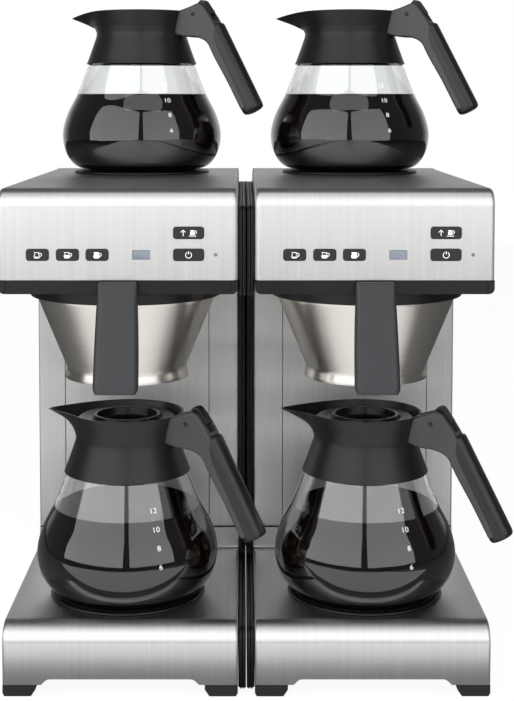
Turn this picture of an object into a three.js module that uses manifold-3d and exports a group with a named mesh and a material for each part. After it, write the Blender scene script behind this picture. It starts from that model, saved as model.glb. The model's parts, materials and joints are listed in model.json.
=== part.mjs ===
// Twin filter-coffee brewer: two brewing units side by side, joined by a pair of black
// mouldings. Each unit has a base with a hotplate, a rear column holding the boiler, and
// a head that overhangs the base, with the controls in front, a second hotplate on top
// and a pull-out filter basket below. Four glass jugs stand on the hotplates.
// Millimetres. X runs across the front, Y runs from the front to the back, Z is up.

import * as THREE from 'three';
import { mergeVertices } from 'three/addons/utils/BufferGeometryUtils.js';
import Module from 'manifold-3d';

const wasm = await Module();
wasm.setup();

// ---------------------------------------------------------------- driving dimensions

const WIDTH = 428;
const DEPTH = 400;
const HEIGHT = 446;
const CENTRE_GAP = 15;
const UNIT_WIDTH = (WIDTH - CENTRE_GAP) / 2;
const UNIT_X = (UNIT_WIDTH + CENTRE_GAP) / 2;
const SIDE_X = UNIT_WIDTH / 2;
const FRONT_Y = -DEPTH / 2;
const BACK_Y = DEPTH / 2;
const SHEET = 1.2;
const GAP = 0.3;

const FOOT_HEIGHT = 10.2;
const BASE_BOTTOM = 10.5;
const BASE_TOP = 64;
const BASE_BEND = 19;
const ARCH_RISE = 5;
const ARCH_SIDE = 34;

const COLUMN_FRONT_Y = FRONT_Y + 220;
const COLUMN_OUTER_STEP = 3;
const PANEL_WIDTH = 147;
const PANEL_BOTTOM = 88;
const PANEL_TOP = 350;

const UNDER_BOTTOM = 355;
const HEAD_BOTTOM = 367;
const HEAD_BEND = 15;
const CENTRE_TOP = 431;
const SHEET_BACK_Y = BACK_Y - SHEET;

const LOWER_PLATE_Y = FRONT_Y + 93;
const UPPER_PLATE_Y = FRONT_Y + 306;
const PLATE_RADIUS = 72;
const PLATE_HOLE = 66;
const PLATE_RISE = 2.6;

const BASKET_TOP_Z = 350.5;
const BASKET_CONE_TOP_Z = 343;
const BASKET_CONE_BOTTOM_Z = 276.5;
const BASKET_FOOT_Z = 267.5;
const BASKET_TOP_RADIUS = 82;
const BASKET_BOTTOM_RADIUS = 55;
const BASKET_WALL = 1.2;
const RING_INNER = 83.6;
const RING_OUTER = 88;
const RING_BOTTOM = 344;
const RING_TOP = 354.4;
const SPRAY_HOLE = 34;

const JUG_TURN = THREE.MathUtils.degToRad(-25);
const GLASS_WALL = 2.5;
const RIM_RADIUS = 52.5;
const RIM_Z = 167;
const NECK_Z = 143.6;
const SPOUT_REACH = 96;
const SPOUT_DROP = 6.8;
const LID_RADIUS = 45.8;
const PIN_X = 67;
const PIN_Z = 162.7;
const PIN_RADIUS = 2.2;
const HANDLE_WIDTH = 23;
const LID_SLOT = 11.4;
const LID_ARM = 10.6;

const CONTROL_ROW_Z = 389;
const UPPER_ROW_Z = 408;
const SMALL_BUTTON = { width: 19, height: 9.7 };
const WIDE_BUTTON = { width: 26, height: 10 };
const DISPLAY_WINDOW = { x: 20, width: 15.3, height: 8 };
const BUTTONS = [
  { name: 'small_jug_button', x: -69.2, z: CONTROL_ROW_Z, size: SMALL_BUTTON },
  { name: 'half_jug_button', x: -43.3, z: CONTROL_ROW_Z, size: SMALL_BUTTON },
  { name: 'full_jug_button', x: -17.8, z: CONTROL_ROW_Z, size: SMALL_BUTTON },
  { name: 'plate_button', x: 61, z: UPPER_ROW_Z, size: WIDE_BUTTON },
  { name: 'power_button', x: 61, z: CONTROL_ROW_Z, size: WIDE_BUTTON },
];

// --------------------------------------------------------------------------- finishes

const STEEL = { color: 0xc9c8c4, roughness: 0.34, metalness: 1 };
const BASKET_STEEL = { color: 0xc2bcb2, roughness: 0.28, metalness: 1 };
const BLACK_PLASTIC = { color: 0x1b1b1c, roughness: 0.45, metalness: 0 };
const SLATE_PLASTIC = { color: 0x3f4347, roughness: 0.5, metalness: 0 };
const PLATE_COATING = { color: 0x141415, roughness: 0.55, metalness: 0.2 };
const GLASS = { color: 0xdfe6e6, roughness: 0.04, metalness: 0 };
const BUTTON_PLASTIC = { color: 0x2c2d2f, roughness: 0.4, metalness: 0 };
const COPPER = { color: 0xb06a44, roughness: 0.35, metalness: 1 };
const BRASS = { color: 0xb7995a, roughness: 0.3, metalness: 1 };
const CIRCUIT_BOARD = { color: 0x2a5b3a, roughness: 0.6, metalness: 0 };

// ---------------------------------------------------------------------- solid helpers

// Turns a closed geometry into a solid, dropping the flat triangles left on an axis and
// turning the faces outwards.
function toSolid(geometry) {
  const bare = geometry.clone();
  bare.deleteAttribute('normal');
  bare.deleteAttribute('uv');
  const merged = mergeVertices(bare, 1e-4);
  const place = merged.attributes.position;
  const index = Array.from(merged.index.array);
  const triangles = [];
  let volume = 0;
  for (let i = 0; i < index.length; i += 3) {
    const [a, b, c] = index.slice(i, i + 3);
    if (a === b || b === c || c === a) continue;
    triangles.push(a, b, c);
    const corners = [a, b, c].map((k) => new THREE.Vector3().fromBufferAttribute(place, k));
    volume += corners[0].dot(corners[1].cross(corners[2]));
  }
  if (volume < 0) triangles.reverse();
  return new wasm.Manifold(new wasm.Mesh({
    numProp: 3,
    vertProperties: new Float32Array(place.array),
    triVerts: new Uint32Array(triangles),
  }));
}

function toGeometry(solid) {
  const mesh = solid.getMesh();
  const geometry = new THREE.BufferGeometry();
  geometry.setAttribute('position', new THREE.BufferAttribute(mesh.vertProperties, 3));
  geometry.setIndex(new THREE.BufferAttribute(mesh.triVerts, 1));
  geometry.computeVertexNormals();
  return geometry;
}

function join(first, ...others) {
  return others.reduce((sum, solid) => sum.add(solid), first);
}

function cut(first, ...others) {
  return others.reduce((rest, solid) => rest.subtract(solid), first);
}

function block(x0, x1, y0, y1, z0, z1) {
  const geometry = new THREE.BoxGeometry(x1 - x0, y1 - y0, z1 - z0);
  geometry.translate((x0 + x1) / 2, (y0 + y1) / 2, (z0 + z1) / 2);
  return toSolid(geometry);
}

// A straight round bar along Z.
function roundBar(radius, x, y, z0, z1, segments = 28) {
  const geometry = new THREE.CylinderGeometry(radius, radius, z1 - z0, segments);
  geometry.rotateX(Math.PI / 2);
  geometry.translate(x, y, (z0 + z1) / 2);
  return toSolid(geometry);
}

// A straight round bar along Y.
function crossBar(radius, x, z, y0, y1, segments = 16) {
  const geometry = new THREE.CylinderGeometry(radius, radius, y1 - y0, segments);
  geometry.translate(x, (y0 + y1) / 2, z);
  return toSolid(geometry);
}

// A body of revolution about Z. Each point is [radius, height].
function turned(points, segments) {
  const profile = points.map(([radius, height]) => new THREE.Vector2(radius, height));
  const geometry = new THREE.LatheGeometry(profile, segments);
  geometry.rotateX(Math.PI / 2);
  return geometry;
}

// Outlines drawn in the plane of two axes and pushed along the third, from low to high.
const PLANES = {
  x: { right: [0, 1, 0], up: [0, 0, 1], out: [1, 0, 0] },
  y: { right: [1, 0, 0], up: [0, 0, 1], out: [0, -1, 0] },
  z: { right: [1, 0, 0], up: [0, 1, 0], out: [0, 0, 1] },
};

function prism(shape, along, low, high, curveSegments = 5) {
  const geometry = new THREE.ExtrudeGeometry(shape, {
    depth: high - low,
    bevelEnabled: false,
    curveSegments,
  });
  const plane = PLANES[along];
  const turn = new THREE.Matrix4().makeBasis(
    new THREE.Vector3(...plane.right),
    new THREE.Vector3(...plane.up),
    new THREE.Vector3(...plane.out),
  );
  geometry.applyMatrix4(turn);
  const offset = new THREE.Vector3(...plane.out).multiplyScalar(along === 'y' ? -high : low);
  geometry.translate(offset.x, offset.y, offset.z);
  return toSolid(geometry);
}

function outline(points) {
  return new THREE.Shape(points.map(([a, b]) => new THREE.Vector2(a, b)));
}

function roundedRectangle(x0, y0, x1, y1, radius) {
  const shape = new THREE.Shape();
  shape.moveTo(x0 + radius, y0);
  shape.lineTo(x1 - radius, y0);
  shape.absarc(x1 - radius, y0 + radius, radius, -Math.PI / 2, 0, false);
  shape.lineTo(x1, y1 - radius);
  shape.absarc(x1 - radius, y1 - radius, radius, 0, Math.PI / 2, false);
  shape.lineTo(x0 + radius, y1);
  shape.absarc(x0 + radius, y1 - radius, radius, Math.PI / 2, Math.PI, false);
  shape.lineTo(x0, y0 + radius);
  shape.absarc(x0 + radius, y0 + radius, radius, Math.PI, 1.5 * Math.PI, false);
  return shape;
}

function centredRectangle(x, z, width, height, radius) {
  return roundedRectangle(x - width / 2, z - height / 2, x + width / 2, z + height / 2, radius);
}

function namedMesh(name, geometry, finish) {
  const mesh = new THREE.Mesh(geometry, new THREE.MeshStandardMaterial(finish));
  mesh.name = name;
  return mesh;
}

// ---------------------------------------------------------------------- steel covers

// The side view of a cover whose front face bends over into its top.
function bentProfile(front, back, bottom, top, radius) {
  const shape = new THREE.Shape();
  shape.moveTo(front, bottom);
  shape.lineTo(front, top - radius);
  shape.absarc(front + radius, top - radius, radius, Math.PI, Math.PI / 2, true);
  shape.lineTo(back, top);
  shape.lineTo(back, bottom);
  return shape;
}

// A folded hood: front, top and two cheeks, open below and behind.
function foldedHood(bottom, top, bend) {
  const outer = bentProfile(FRONT_Y, SHEET_BACK_Y, bottom, top, bend);
  const inner = bentProfile(FRONT_Y + SHEET, BACK_Y, bottom - 1, top - SHEET, bend - SHEET);
  const cheekX = SIDE_X - SHEET;
  return cut(prism(outer, 'x', -SIDE_X, SIDE_X), prism(inner, 'x', -cheekX, cheekX));
}

function makeHeadCover() {
  const cutouts = BUTTONS.map(({ x, z, size }) => {
    const hole = centredRectangle(x, z, size.width + 0.7, size.height + 0.7, 2.6);
    return prism(hole, 'y', FRONT_Y - 1, FRONT_Y + SHEET + 1, 1);
  });
  const { x, width, height } = DISPLAY_WINDOW;
  const display = block(
    x - width / 2, x + width / 2, FRONT_Y - 1, FRONT_Y + SHEET + 1,
    CONTROL_ROW_Z - height / 2, CONTROL_ROW_Z + height / 2,
  );
  const plateHole = roundBar(PLATE_HOLE, 0, UPPER_PLATE_Y, HEIGHT - 2 * SHEET, HEIGHT + 1);
  return cut(foldedHood(HEAD_BOTTOM, HEIGHT, HEAD_BEND), plateHole, display, ...cutouts);
}

function makeBaseCover() {
  const archX = SIDE_X - ARCH_SIDE;
  const arch = outline([
    [-archX, BASE_BOTTOM - 1],
    [archX, BASE_BOTTOM - 1],
    [archX, BASE_BOTTOM],
    [archX - ARCH_RISE, BASE_BOTTOM + ARCH_RISE],
    [ARCH_RISE - archX, BASE_BOTTOM + ARCH_RISE],
    [-archX, BASE_BOTTOM],
  ]);
  return cut(
    foldedHood(BASE_BOTTOM, BASE_TOP, BASE_BEND),
    prism(arch, 'y', FRONT_Y - 1, FRONT_Y + SHEET + 1),
    roundBar(PLATE_HOLE, 0, LOWER_PLATE_Y, BASE_TOP - 2 * SHEET, BASE_TOP + 1),
  );
}

// The outer side of a column stands a little inside the sides of the head and base.
function makeColumnCover(outerSide) {
  const edges = [outerSide * (SIDE_X - COLUMN_OUTER_STEP), -outerSide * SIDE_X];
  const low = Math.min(...edges);
  const high = Math.max(...edges);
  const bottom = BASE_TOP + GAP;
  const top = HEAD_BOTTOM - GAP;
  const halfPanel = PANEL_WIDTH / 2;
  return cut(
    block(low, high, COLUMN_FRONT_Y, SHEET_BACK_Y, bottom, top),
    block(low + SHEET, high - SHEET, COLUMN_FRONT_Y + SHEET, BACK_Y, bottom - 1, top + 1),
    block(
      -halfPanel, halfPanel, COLUMN_FRONT_Y - 1, COLUMN_FRONT_Y + SHEET + 1,
      PANEL_BOTTOM, PANEL_TOP,
    ),
  );
}

// A shallow pan that closes the service opening in the front of a column.
function makeServicePanel() {
  const lip = 12;
  const halfWidth = PANEL_WIDTH / 2 - 0.4;
  const bottom = PANEL_BOTTOM + 0.4;
  const top = PANEL_TOP - 0.4;
  return cut(
    block(-halfWidth, halfWidth, COLUMN_FRONT_Y, COLUMN_FRONT_Y + lip, bottom, top),
    block(
      SHEET - halfWidth, halfWidth - SHEET, COLUMN_FRONT_Y + SHEET, COLUMN_FRONT_Y + lip + 1,
      bottom + SHEET, top - SHEET,
    ),
  );
}

function makeBasePan() {
  const halfWidth = SIDE_X - SHEET - GAP;
  const bottom = BASE_BOTTOM + ARCH_RISE + GAP;
  return block(
    -halfWidth, halfWidth, FRONT_Y + SHEET + GAP, SHEET_BACK_Y - GAP, bottom, bottom + 1.5,
  );
}

const INLET = { x: -150, z: 38, hole: 11.5 };
const GLAND = { x: -80, z: 38, hole: 9.5 };

function makeRearPanel() {
  const slots = [];
  for (const side of [-1, 1]) {
    for (let row = 0; row < 6; row += 1) {
      const x = side * UNIT_X;
      const z = 120 + 12 * row;
      slots.push(block(x - 35, x + 35, SHEET_BACK_Y - 1, BACK_Y + 1, z, z + 4));
    }
  }
  const notch = CENTRE_GAP / 2 + 0.5;
  return cut(
    block(-WIDTH / 2, WIDTH / 2, SHEET_BACK_Y + GAP, BACK_Y, BASE_BOTTOM, HEIGHT),
    block(-notch, notch, SHEET_BACK_Y - 1, BACK_Y + 1, CENTRE_TOP, HEIGHT + 1),
    crossBar(INLET.hole, INLET.x, INLET.z, SHEET_BACK_Y - 1, BACK_Y + 1),
    crossBar(GLAND.hole, GLAND.x, GLAND.z, SHEET_BACK_Y - 1, BACK_Y + 1),
    ...slots,
  );
}

// ------------------------------------------------------------------ plastic mouldings

// The moulding that closes the underside of a head, with the two rails that carry the
// filter holder.
function makeHeadMoulding() {
  const back = COLUMN_FRONT_Y - GAP;
  const top = HEAD_BOTTOM - GAP;
  const corner = 5;
  const front = new THREE.Shape();
  front.moveTo(-SIDE_X, top);
  front.lineTo(-SIDE_X, UNDER_BOTTOM + corner);
  front.absarc(corner - SIDE_X, UNDER_BOTTOM + corner, corner, Math.PI, 1.5 * Math.PI, false);
  front.lineTo(SIDE_X - corner, UNDER_BOTTOM);
  front.absarc(SIDE_X - corner, UNDER_BOTTOM + corner, corner, 1.5 * Math.PI, 2 * Math.PI, false);
  front.lineTo(SIDE_X, top);
  const wall = 3;
  const pocket = block(
    wall - SIDE_X, SIDE_X - wall, FRONT_Y + wall, back - wall, UNDER_BOTTOM + wall, top + 1,
  );
  const tray = cut(prism(front, 'y', FRONT_Y, back, 3), pocket);
  const railBottom = RING_BOTTOM - 2.2;
  const rails = [-1, 1].map((side) => {
    const rail = outline([
      [side * 85.4, railBottom],
      [side * 93, railBottom],
      [side * 93, UNDER_BOTTOM + 0.5],
      [side * (RING_OUTER + 0.8), UNDER_BOTTOM + 0.5],
      [side * (RING_OUTER + 0.8), RING_BOTTOM - GAP],
      [side * 85.4, RING_BOTTOM - GAP],
    ]);
    return prism(rail, 'y', FRONT_Y + 100, back - 8);
  });
  const sprayHole = roundBar(SPRAY_HOLE, 0, LOWER_PLATE_Y, UNDER_BOTTOM - 1, UNDER_BOTTOM + 4);
  return cut(join(tray, ...rails), sprayHole);
}

// The C-shaped moulding on the inner side of a unit, set back from the steel outline.
function makeCentreMoulding(side) {
  const front = FRONT_Y + 6;
  const back = SHEET_BACK_Y - GAP;
  const columnFront = COLUMN_FRONT_Y - 4;
  const shape = outline([
    [front, 4],
    [back, 4],
    [back, CENTRE_TOP],
    [front + 6, CENTRE_TOP],
    [front, CENTRE_TOP - 6],
    [front, UNDER_BOTTOM - 3],
    [columnFront, UNDER_BOTTOM - 3],
    [columnFront, BASE_TOP - 6],
    [front + 6, BASE_TOP - 6],
    [front, BASE_TOP - 12],
  ]);
  const edges = [side * GAP, side * (CENTRE_GAP / 2 - GAP)];
  return prism(shape, 'x', Math.min(...edges), Math.max(...edges));
}

const FOOT_WIDTH = 29;
const FOOT_LENGTH = 34;

// A front foot: a visible block under the cover and a spigot that plugs in behind it.
function makeFrontFoot(side) {
  const outerX = side * SIDE_X;
  const innerX = side * (SIDE_X - FOOT_WIDTH);
  const profile = outline([
    [outerX - side * 1.5, 0],
    [outerX, 3],
    [outerX, FOOT_HEIGHT],
    [innerX, FOOT_HEIGHT],
    [innerX, 6],
    [innerX + side * 4, 0],
  ]);
  const frontY = FRONT_Y + 0.5;
  const spigotX = [outerX - side * (SHEET + GAP), innerX + side * 3];
  return join(
    prism(profile, 'y', frontY, frontY + FOOT_LENGTH),
    block(
      Math.min(...spigotX), Math.max(...spigotX), FRONT_Y + SHEET + GAP,
      frontY + FOOT_LENGTH - 4, FOOT_HEIGHT - 1, BASE_BOTTOM + ARCH_RISE,
    ),
  );
}

// The rear foot is one bar across the unit.
function makeRearFoot() {
  const halfSpigot = SIDE_X - SHEET - GAP;
  return join(
    block(-SIDE_X, SIDE_X, BACK_Y - FOOT_LENGTH, SHEET_BACK_Y, 0, FOOT_HEIGHT),
    block(
      -halfSpigot, halfSpigot, BACK_Y - FOOT_LENGTH + 4, SHEET_BACK_Y - GAP,
      FOOT_HEIGHT - 1, BASE_BOTTOM + ARCH_RISE,
    ),
  );
}

// --------------------------------------------------------------- hotplates and brewing

// A coated plate with a flat jug rest, a shallow groove and an outer ring that laps over
// the edge of its hole. Its skirt is open below, for the heating element.
function makeHotplate() {
  const boss = PLATE_HOLE - 2;
  const plateBottom = PLATE_RISE - 2.5;
  return turned([
    [0, plateBottom],
    [boss - 2.5, plateBottom],
    [boss - 2.5, -8],
    [boss, -8],
    [boss, GAP],
    [PLATE_RADIUS - 1, GAP],
    [PLATE_RADIUS, 1.2],
    [PLATE_RADIUS - 1.4, PLATE_RISE - 0.3],
    [PLATE_RADIUS - 5, PLATE_RISE - 0.3],
    [PLATE_RADIUS - 6.5, PLATE_RISE - 1.4],
    [PLATE_RADIUS - 8, PLATE_RISE],
    [0, PLATE_RISE],
  ], 28);
}

function makeFilterBasket() {
  const drain = 6;
  const innerTop = BASKET_TOP_RADIUS - BASKET_WALL;
  const innerBottom = BASKET_BOTTOM_RADIUS - BASKET_WALL;
  const footRadius = BASKET_BOTTOM_RADIUS + 1.8;
  return turned([
    [drain, BASKET_CONE_BOTTOM_Z],
    [BASKET_BOTTOM_RADIUS - 1.5, BASKET_CONE_BOTTOM_Z],
    [footRadius - BASKET_WALL, BASKET_FOOT_Z],
    [footRadius, BASKET_FOOT_Z],
    [footRadius, BASKET_FOOT_Z + 2.5],
    [BASKET_BOTTOM_RADIUS, BASKET_CONE_BOTTOM_Z],
    [BASKET_TOP_RADIUS, BASKET_CONE_TOP_Z],
    [BASKET_TOP_RADIUS, BASKET_TOP_Z],
    [innerTop, BASKET_TOP_Z],
    [innerTop, BASKET_CONE_TOP_Z],
    [innerBottom, BASKET_CONE_BOTTOM_Z + BASKET_WALL],
    [drain, BASKET_CONE_BOTTOM_Z + BASKET_WALL],
    [drain, BASKET_CONE_BOTTOM_Z],
  ], 28);
}

// The ring that carries the basket along the rails, with the pull handle in front of it.
function makeFilterHolder() {
  const ring = toSolid(turned([
    [RING_INNER, RING_BOTTOM],
    [RING_OUTER, RING_BOTTOM],
    [RING_OUTER, RING_TOP],
    [RING_INNER - 1, RING_TOP],
    [RING_INNER - 1, RING_TOP - 2.5],
    [RING_INNER, RING_TOP - 2.5],
    [RING_INNER, RING_BOTTOM],
  ], 32));
  const neckBack = -(RING_INNER + 2.5);
  const handleFront = FRONT_Y - LOWER_PLATE_Y - 38;
  const clearFront = FRONT_Y - LOWER_PLATE_Y - 0.6;
  const topZ = HEAD_BOTTOM - 1;
  const bottomZ = 273;
  const side = new THREE.Shape();
  side.moveTo(clearFront - 7, topZ);
  side.lineTo(clearFront, topZ - 2);
  side.lineTo(clearFront, RING_TOP);
  side.lineTo(neckBack, RING_TOP);
  side.lineTo(neckBack, RING_BOTTOM);
  side.lineTo(clearFront - 3, RING_BOTTOM);
  side.quadraticCurveTo(clearFront - 9, 315, handleFront + 16, bottomZ + 1);
  side.lineTo(handleFront, bottomZ);
  side.quadraticCurveTo(clearFront - 24, 330, clearFront - 7, topZ);
  const lowWidth = 19.5;
  const highWidth = 16.8;
  const front = outline([
    [-lowWidth, bottomZ - 1],
    [lowWidth, bottomZ - 1],
    [highWidth, topZ + 1],
    [-highWidth, topZ + 1],
  ]);
  const handle = prism(side, 'x', -lowWidth, lowWidth, 6)
    .intersect(prism(front, 'y', handleFront - 5, neckBack + 5));
  return join(ring, handle);
}

function makeSprayHead() {
  return turned([
    [0, UNDER_BOTTOM],
    [28, UNDER_BOTTOM],
    [30, UNDER_BOTTOM + 3],
    [12, UNDER_BOTTOM + 7],
    [9, HEAD_BOTTOM + 2],
    [0, HEAD_BOTTOM + 2],
  ], 20);
}

// The boiler stands in the column, with the hole for its heater below; its riser runs
// forward to above the spray head.
function makeBoiler() {
  const boilerY = COLUMN_FRONT_Y + 95;
  const bottomZ = 96;
  const shoulderZ = 290;
  const wall = 1.5;
  const radius = 36;
  const endRadius = 26;
  const tank = turned([
    [8, bottomZ],
    [endRadius, bottomZ],
    [radius, bottomZ + 10],
    [radius, shoulderZ],
    [endRadius, shoulderZ + 12],
    [0, shoulderZ + 12],
    [0, shoulderZ + 12 - wall],
    [endRadius - wall, shoulderZ + 12 - wall],
    [radius - wall, shoulderZ - wall],
    [radius - wall, bottomZ + 10 + wall],
    [endRadius - wall, bottomZ + wall],
    [8, bottomZ + wall],
    [8, bottomZ],
  ], 20);
  tank.translate(0, boilerY, 0);
  const pipeZ = 398;
  const bend = 22;
  const route = new THREE.CurvePath();
  const stops = [
    [boilerY, shoulderZ + 11],
    [boilerY, pipeZ - bend],
    [boilerY - bend, pipeZ],
    [LOWER_PLATE_Y + bend, pipeZ],
    [LOWER_PLATE_Y, pipeZ - bend],
    [LOWER_PLATE_Y, HEAD_BOTTOM + 2 + GAP],
  ].map(([y, z]) => new THREE.Vector3(0, y, z));
  const corners = [
    new THREE.Vector3(0, boilerY, pipeZ),
    new THREE.Vector3(0, LOWER_PLATE_Y, pipeZ),
  ];
  route.add(new THREE.LineCurve3(stops[0], stops[1]));
  route.add(new THREE.QuadraticBezierCurve3(stops[1], corners[0], stops[2]));
  route.add(new THREE.LineCurve3(stops[2], stops[3]));
  route.add(new THREE.QuadraticBezierCurve3(stops[3], corners[1], stops[4]));
  route.add(new THREE.LineCurve3(stops[4], stops[5]));
  const section = new THREE.Shape().absarc(0, 0, 5, 0, 2 * Math.PI, false);
  const riser = new THREE.ExtrudeGeometry(section, {
    steps: 18,
    extrudePath: route,
    curveSegments: 4,
    bevelEnabled: false,
  });
  return join(toSolid(tank), toSolid(riser));
}

// -------------------------------------------------------------- controls and services

// A key with a lip behind the sheet that keeps it in its hole.
function makeButton({ x, z, size }) {
  const face = centredRectangle(x, z, size.width, size.height, 2.3);
  const lip = centredRectangle(x, z, size.width + 3, size.height + 2.6, 2.3);
  const lipFront = FRONT_Y + SHEET + GAP;
  return join(
    prism(face, 'y', FRONT_Y - 1.2, lipFront + 0.2, 1),
    prism(lip, 'y', lipFront, lipFront + 1.2, 1),
  );
}

function makeControlBoard() {
  const front = FRONT_Y + 7;
  const relays = [-60, -32, -4].map((x) => block(x, x + 18, front + 1, front + 16, 414, 430));
  return join(block(-86, 86, front, front + 1.6, 376, 436), ...relays);
}

// Solenoid valve with the threaded tail that takes the water hose behind the machine.
function makeInletValve() {
  const { x, z, hole } = INLET;
  const radius = hole - 0.8;
  return join(
    crossBar(radius, x, z, BACK_Y - 30, BACK_Y + 16),
    block(x - 15, x + 15, BACK_Y - 62, BACK_Y - 28, z - 13, z + 15),
  );
}

// Gland for the mains cord, with a nut on each side of the rear panel. Its mouth is closed
// by the rubber seal, a little way in.
function makeCableGland() {
  const { x, z, hole } = GLAND;
  return cut(
    join(
      crossBar(hole - 0.6, x, z, BACK_Y - 12, BACK_Y + 12),
      crossBar(13, x, z, BACK_Y + GAP, BACK_Y + 7, 6),
      crossBar(13, x, z, BACK_Y - 8, SHEET_BACK_Y, 6),
    ),
    crossBar(4.2, x, z, BACK_Y + 9, BACK_Y + 13, 12),
  );
}

// --------------------------------------------------------------------------------- jugs

// Local frame of a jug: the underside of the glass at Z = 0, its axis on Z, the handle
// towards +X and the spout towards -X.
const GLASS_STATIONS = [
  [55, 0],
  [70, 4.5],
  [80.5, 18],
  [84, 38],
  [79, 59],
  [68, 81],
  [57.4, 108],
  [49, 130],
  [44.4, 143],
  [44.4, 147],
];

function makeGlass() {
  const stations = GLASS_STATIONS.map(([radius, z]) => new THREE.Vector2(radius, z));
  const curve = new THREE.SplineCurve(stations);
  const steps = GLASS_STATIONS.length - 1;
  const outer = [[0, 0]];
  const inner = [];
  for (let i = 0; i <= steps; i += 1) {
    const point = curve.getPoint(i / steps);
    const along = curve.getTangent(i / steps);
    outer.push([point.x, point.y]);
    const z = Math.min(Math.max(point.y + along.x * GLASS_WALL, GLASS_WALL), 147);
    inner.unshift([point.x - along.y * GLASS_WALL, z]);
  }
  inner[0][1] = 147;
  return turned([...outer, ...inner, [0, GLASS_WALL]], 22);
}

// Plan radius added to a round rim by a beak whose sides run straight to its tip.
function beakReach(x, y) {
  const halfAngle = Math.acos(RIM_RADIUS / SPOUT_REACH);
  const angle = Math.hypot(Math.atan2(y, -x), 0.08);
  if (angle >= halfAngle) return 0;
  return RIM_RADIUS / Math.cos(halfAngle - angle) - RIM_RADIUS;
}

// The funnel-shaped collar over the mouth of the glass, drawn out into a spout.
function makeCollar() {
  const collar = turned([
    [58.4, 112],
    [53.6, 127],
    [48.2, 140],
    [47.5, NECK_Z],
    [48.6, 151],
    [50.6, 159],
    [RIM_RADIUS, RIM_Z],
    [RIM_RADIUS - 2, RIM_Z],
    [48.4, 159],
    [46.6, 156.8],
    [42, 156.8],
    [42, 147.6],
    [45, 147.6],
    [45, 142.6],
    [49.8, 130],
    [56.6, 112],
    [58.4, 112],
  ], 28);
  const place = collar.attributes.position;
  for (let i = 0; i < place.count; i += 1) {
    const x = place.getX(i);
    const y = place.getY(i);
    const z = place.getZ(i);
    const radius = Math.hypot(x, y);
    if (z < NECK_Z + 4 || radius < 44) continue;
    const height = Math.min((z - NECK_Z - 4) / (RIM_Z - NECK_Z - 4), 1);
    const reach = beakReach(x, y) * height ** 1.4;
    place.setXYZ(
      i, x * (1 + reach / radius), y * (1 + reach / radius),
      z - SPOUT_DROP * height * beakReach(x, y) / (SPOUT_REACH - RIM_RADIUS),
    );
  }
  return toSolid(collar);
}

// The handle grows out of the collar as two cheeks around the lid's arm, with a hole in
// each for the lid's pin, and runs down into the grip.
function makeCollarAndHandle() {
  const side = new THREE.Shape();
  side.moveTo(43, 143);
  side.lineTo(56, 139.5);
  side.lineTo(71, 139);
  side.quadraticCurveTo(79, 137.5, 84, 129);
  side.lineTo(121.6, 57.4);
  side.lineTo(141.6, 67.6);
  side.lineTo(95, 155);
  side.lineTo(87.5, 158);
  side.lineTo(77, 172.5);
  side.lineTo(71.5, 174.5);
  side.lineTo(62, 170.5);
  side.lineTo(43, 165);
  const round = 4;
  const geometry = new THREE.ExtrudeGeometry(side, {
    depth: HANDLE_WIDTH - 2 * round,
    bevelEnabled: true,
    bevelThickness: round,
    bevelSize: round,
    bevelOffset: -round,
    bevelSegments: 2,
    curveSegments: 3,
  });
  geometry.rotateX(Math.PI / 2);
  geometry.translate(0, HANDLE_WIDTH / 2 - round, 0);
  const halfSlot = LID_SLOT / 2;
  const slotSide = outline([
    [40, 157.1],
    [58, 157.1],
    [60, 146],
    [82, 146],
    [89, 156],
    [89, 185],
    [40, 185],
  ]);
  const slot = prism(slotSide, 'y', -halfSlot, halfSlot);
  const bore = toSolid(turned([
    [0, 100],
    [57.6, 108],
    [49.8, 130],
    [45, 142.6],
    [45, 147.6],
    [42, 147.6],
    [42, 156.8],
    [46.6, 156.8],
    [48.4, 159],
    [RIM_RADIUS - 2, 185],
    [0, 185],
  ], 26));
  const pinHole = crossBar(PIN_RADIUS + GAP, PIN_X, PIN_Z, -HANDLE_WIDTH, HANDLE_WIDTH, 20);
  return join(makeCollar(), cut(toSolid(geometry), bore)).subtract(slot).subtract(pinHole);
}

// A dished lid with a raised ring round its drain, an arm with the hinge pin through it and
// a thumb lever.
function makeLid() {
  const dish = toSolid(turned([
    [9, 151],
    [28, 153],
    [30.5, 157.2],
    [LID_RADIUS, 157.2],
    [LID_RADIUS, 161],
    [43, 162.4],
    [32, 160.6],
    [30.8, 164.6],
    [28, 164.6],
    [26.6, 156],
    [9, 153.2],
    [9, 151],
  ], 22));
  const arm = new THREE.Shape();
  arm.moveTo(40, 158);
  arm.lineTo(56, 158);
  arm.absarc(PIN_X, PIN_Z, 4.4, Math.PI * 1.1, Math.PI * 1.75, false);
  arm.lineTo(84.5, 161.5);
  arm.lineTo(85.5, 164.5);
  arm.lineTo(76.5, 177);
  arm.lineTo(72, 178);
  arm.lineTo(64, 168);
  arm.lineTo(50, 162.6);
  arm.lineTo(40, 162);
  const pinEnd = HANDLE_WIDTH / 2 - 0.2;
  return join(
    dish,
    prism(arm, 'y', -LID_ARM / 2, LID_ARM / 2, 4),
    crossBar(PIN_RADIUS, PIN_X, PIN_Z, -pinEnd, pinEnd, 20),
  );
}

function makeJug(name, plateY, standZ) {
  const jug = new THREE.Group();
  jug.add(
    namedMesh(`${name}_glass`, makeGlass(), GLASS),
    namedMesh(`${name}_collar_and_handle`, toGeometry(makeCollarAndHandle()), BLACK_PLASTIC),
    namedMesh(`${name}_lid`, toGeometry(makeLid()), BLACK_PLASTIC),
  );
  jug.position.set(0, plateY, standZ + PLATE_RISE + GAP);
  jug.rotation.z = JUG_TURN;
  return jug;
}

// ---------------------------------------------------------------------------- assembly

function makeHotplateMesh(name, y, z) {
  const mesh = namedMesh(name, makeHotplate(), PLATE_COATING);
  mesh.position.set(0, y, z);
  return mesh;
}

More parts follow.
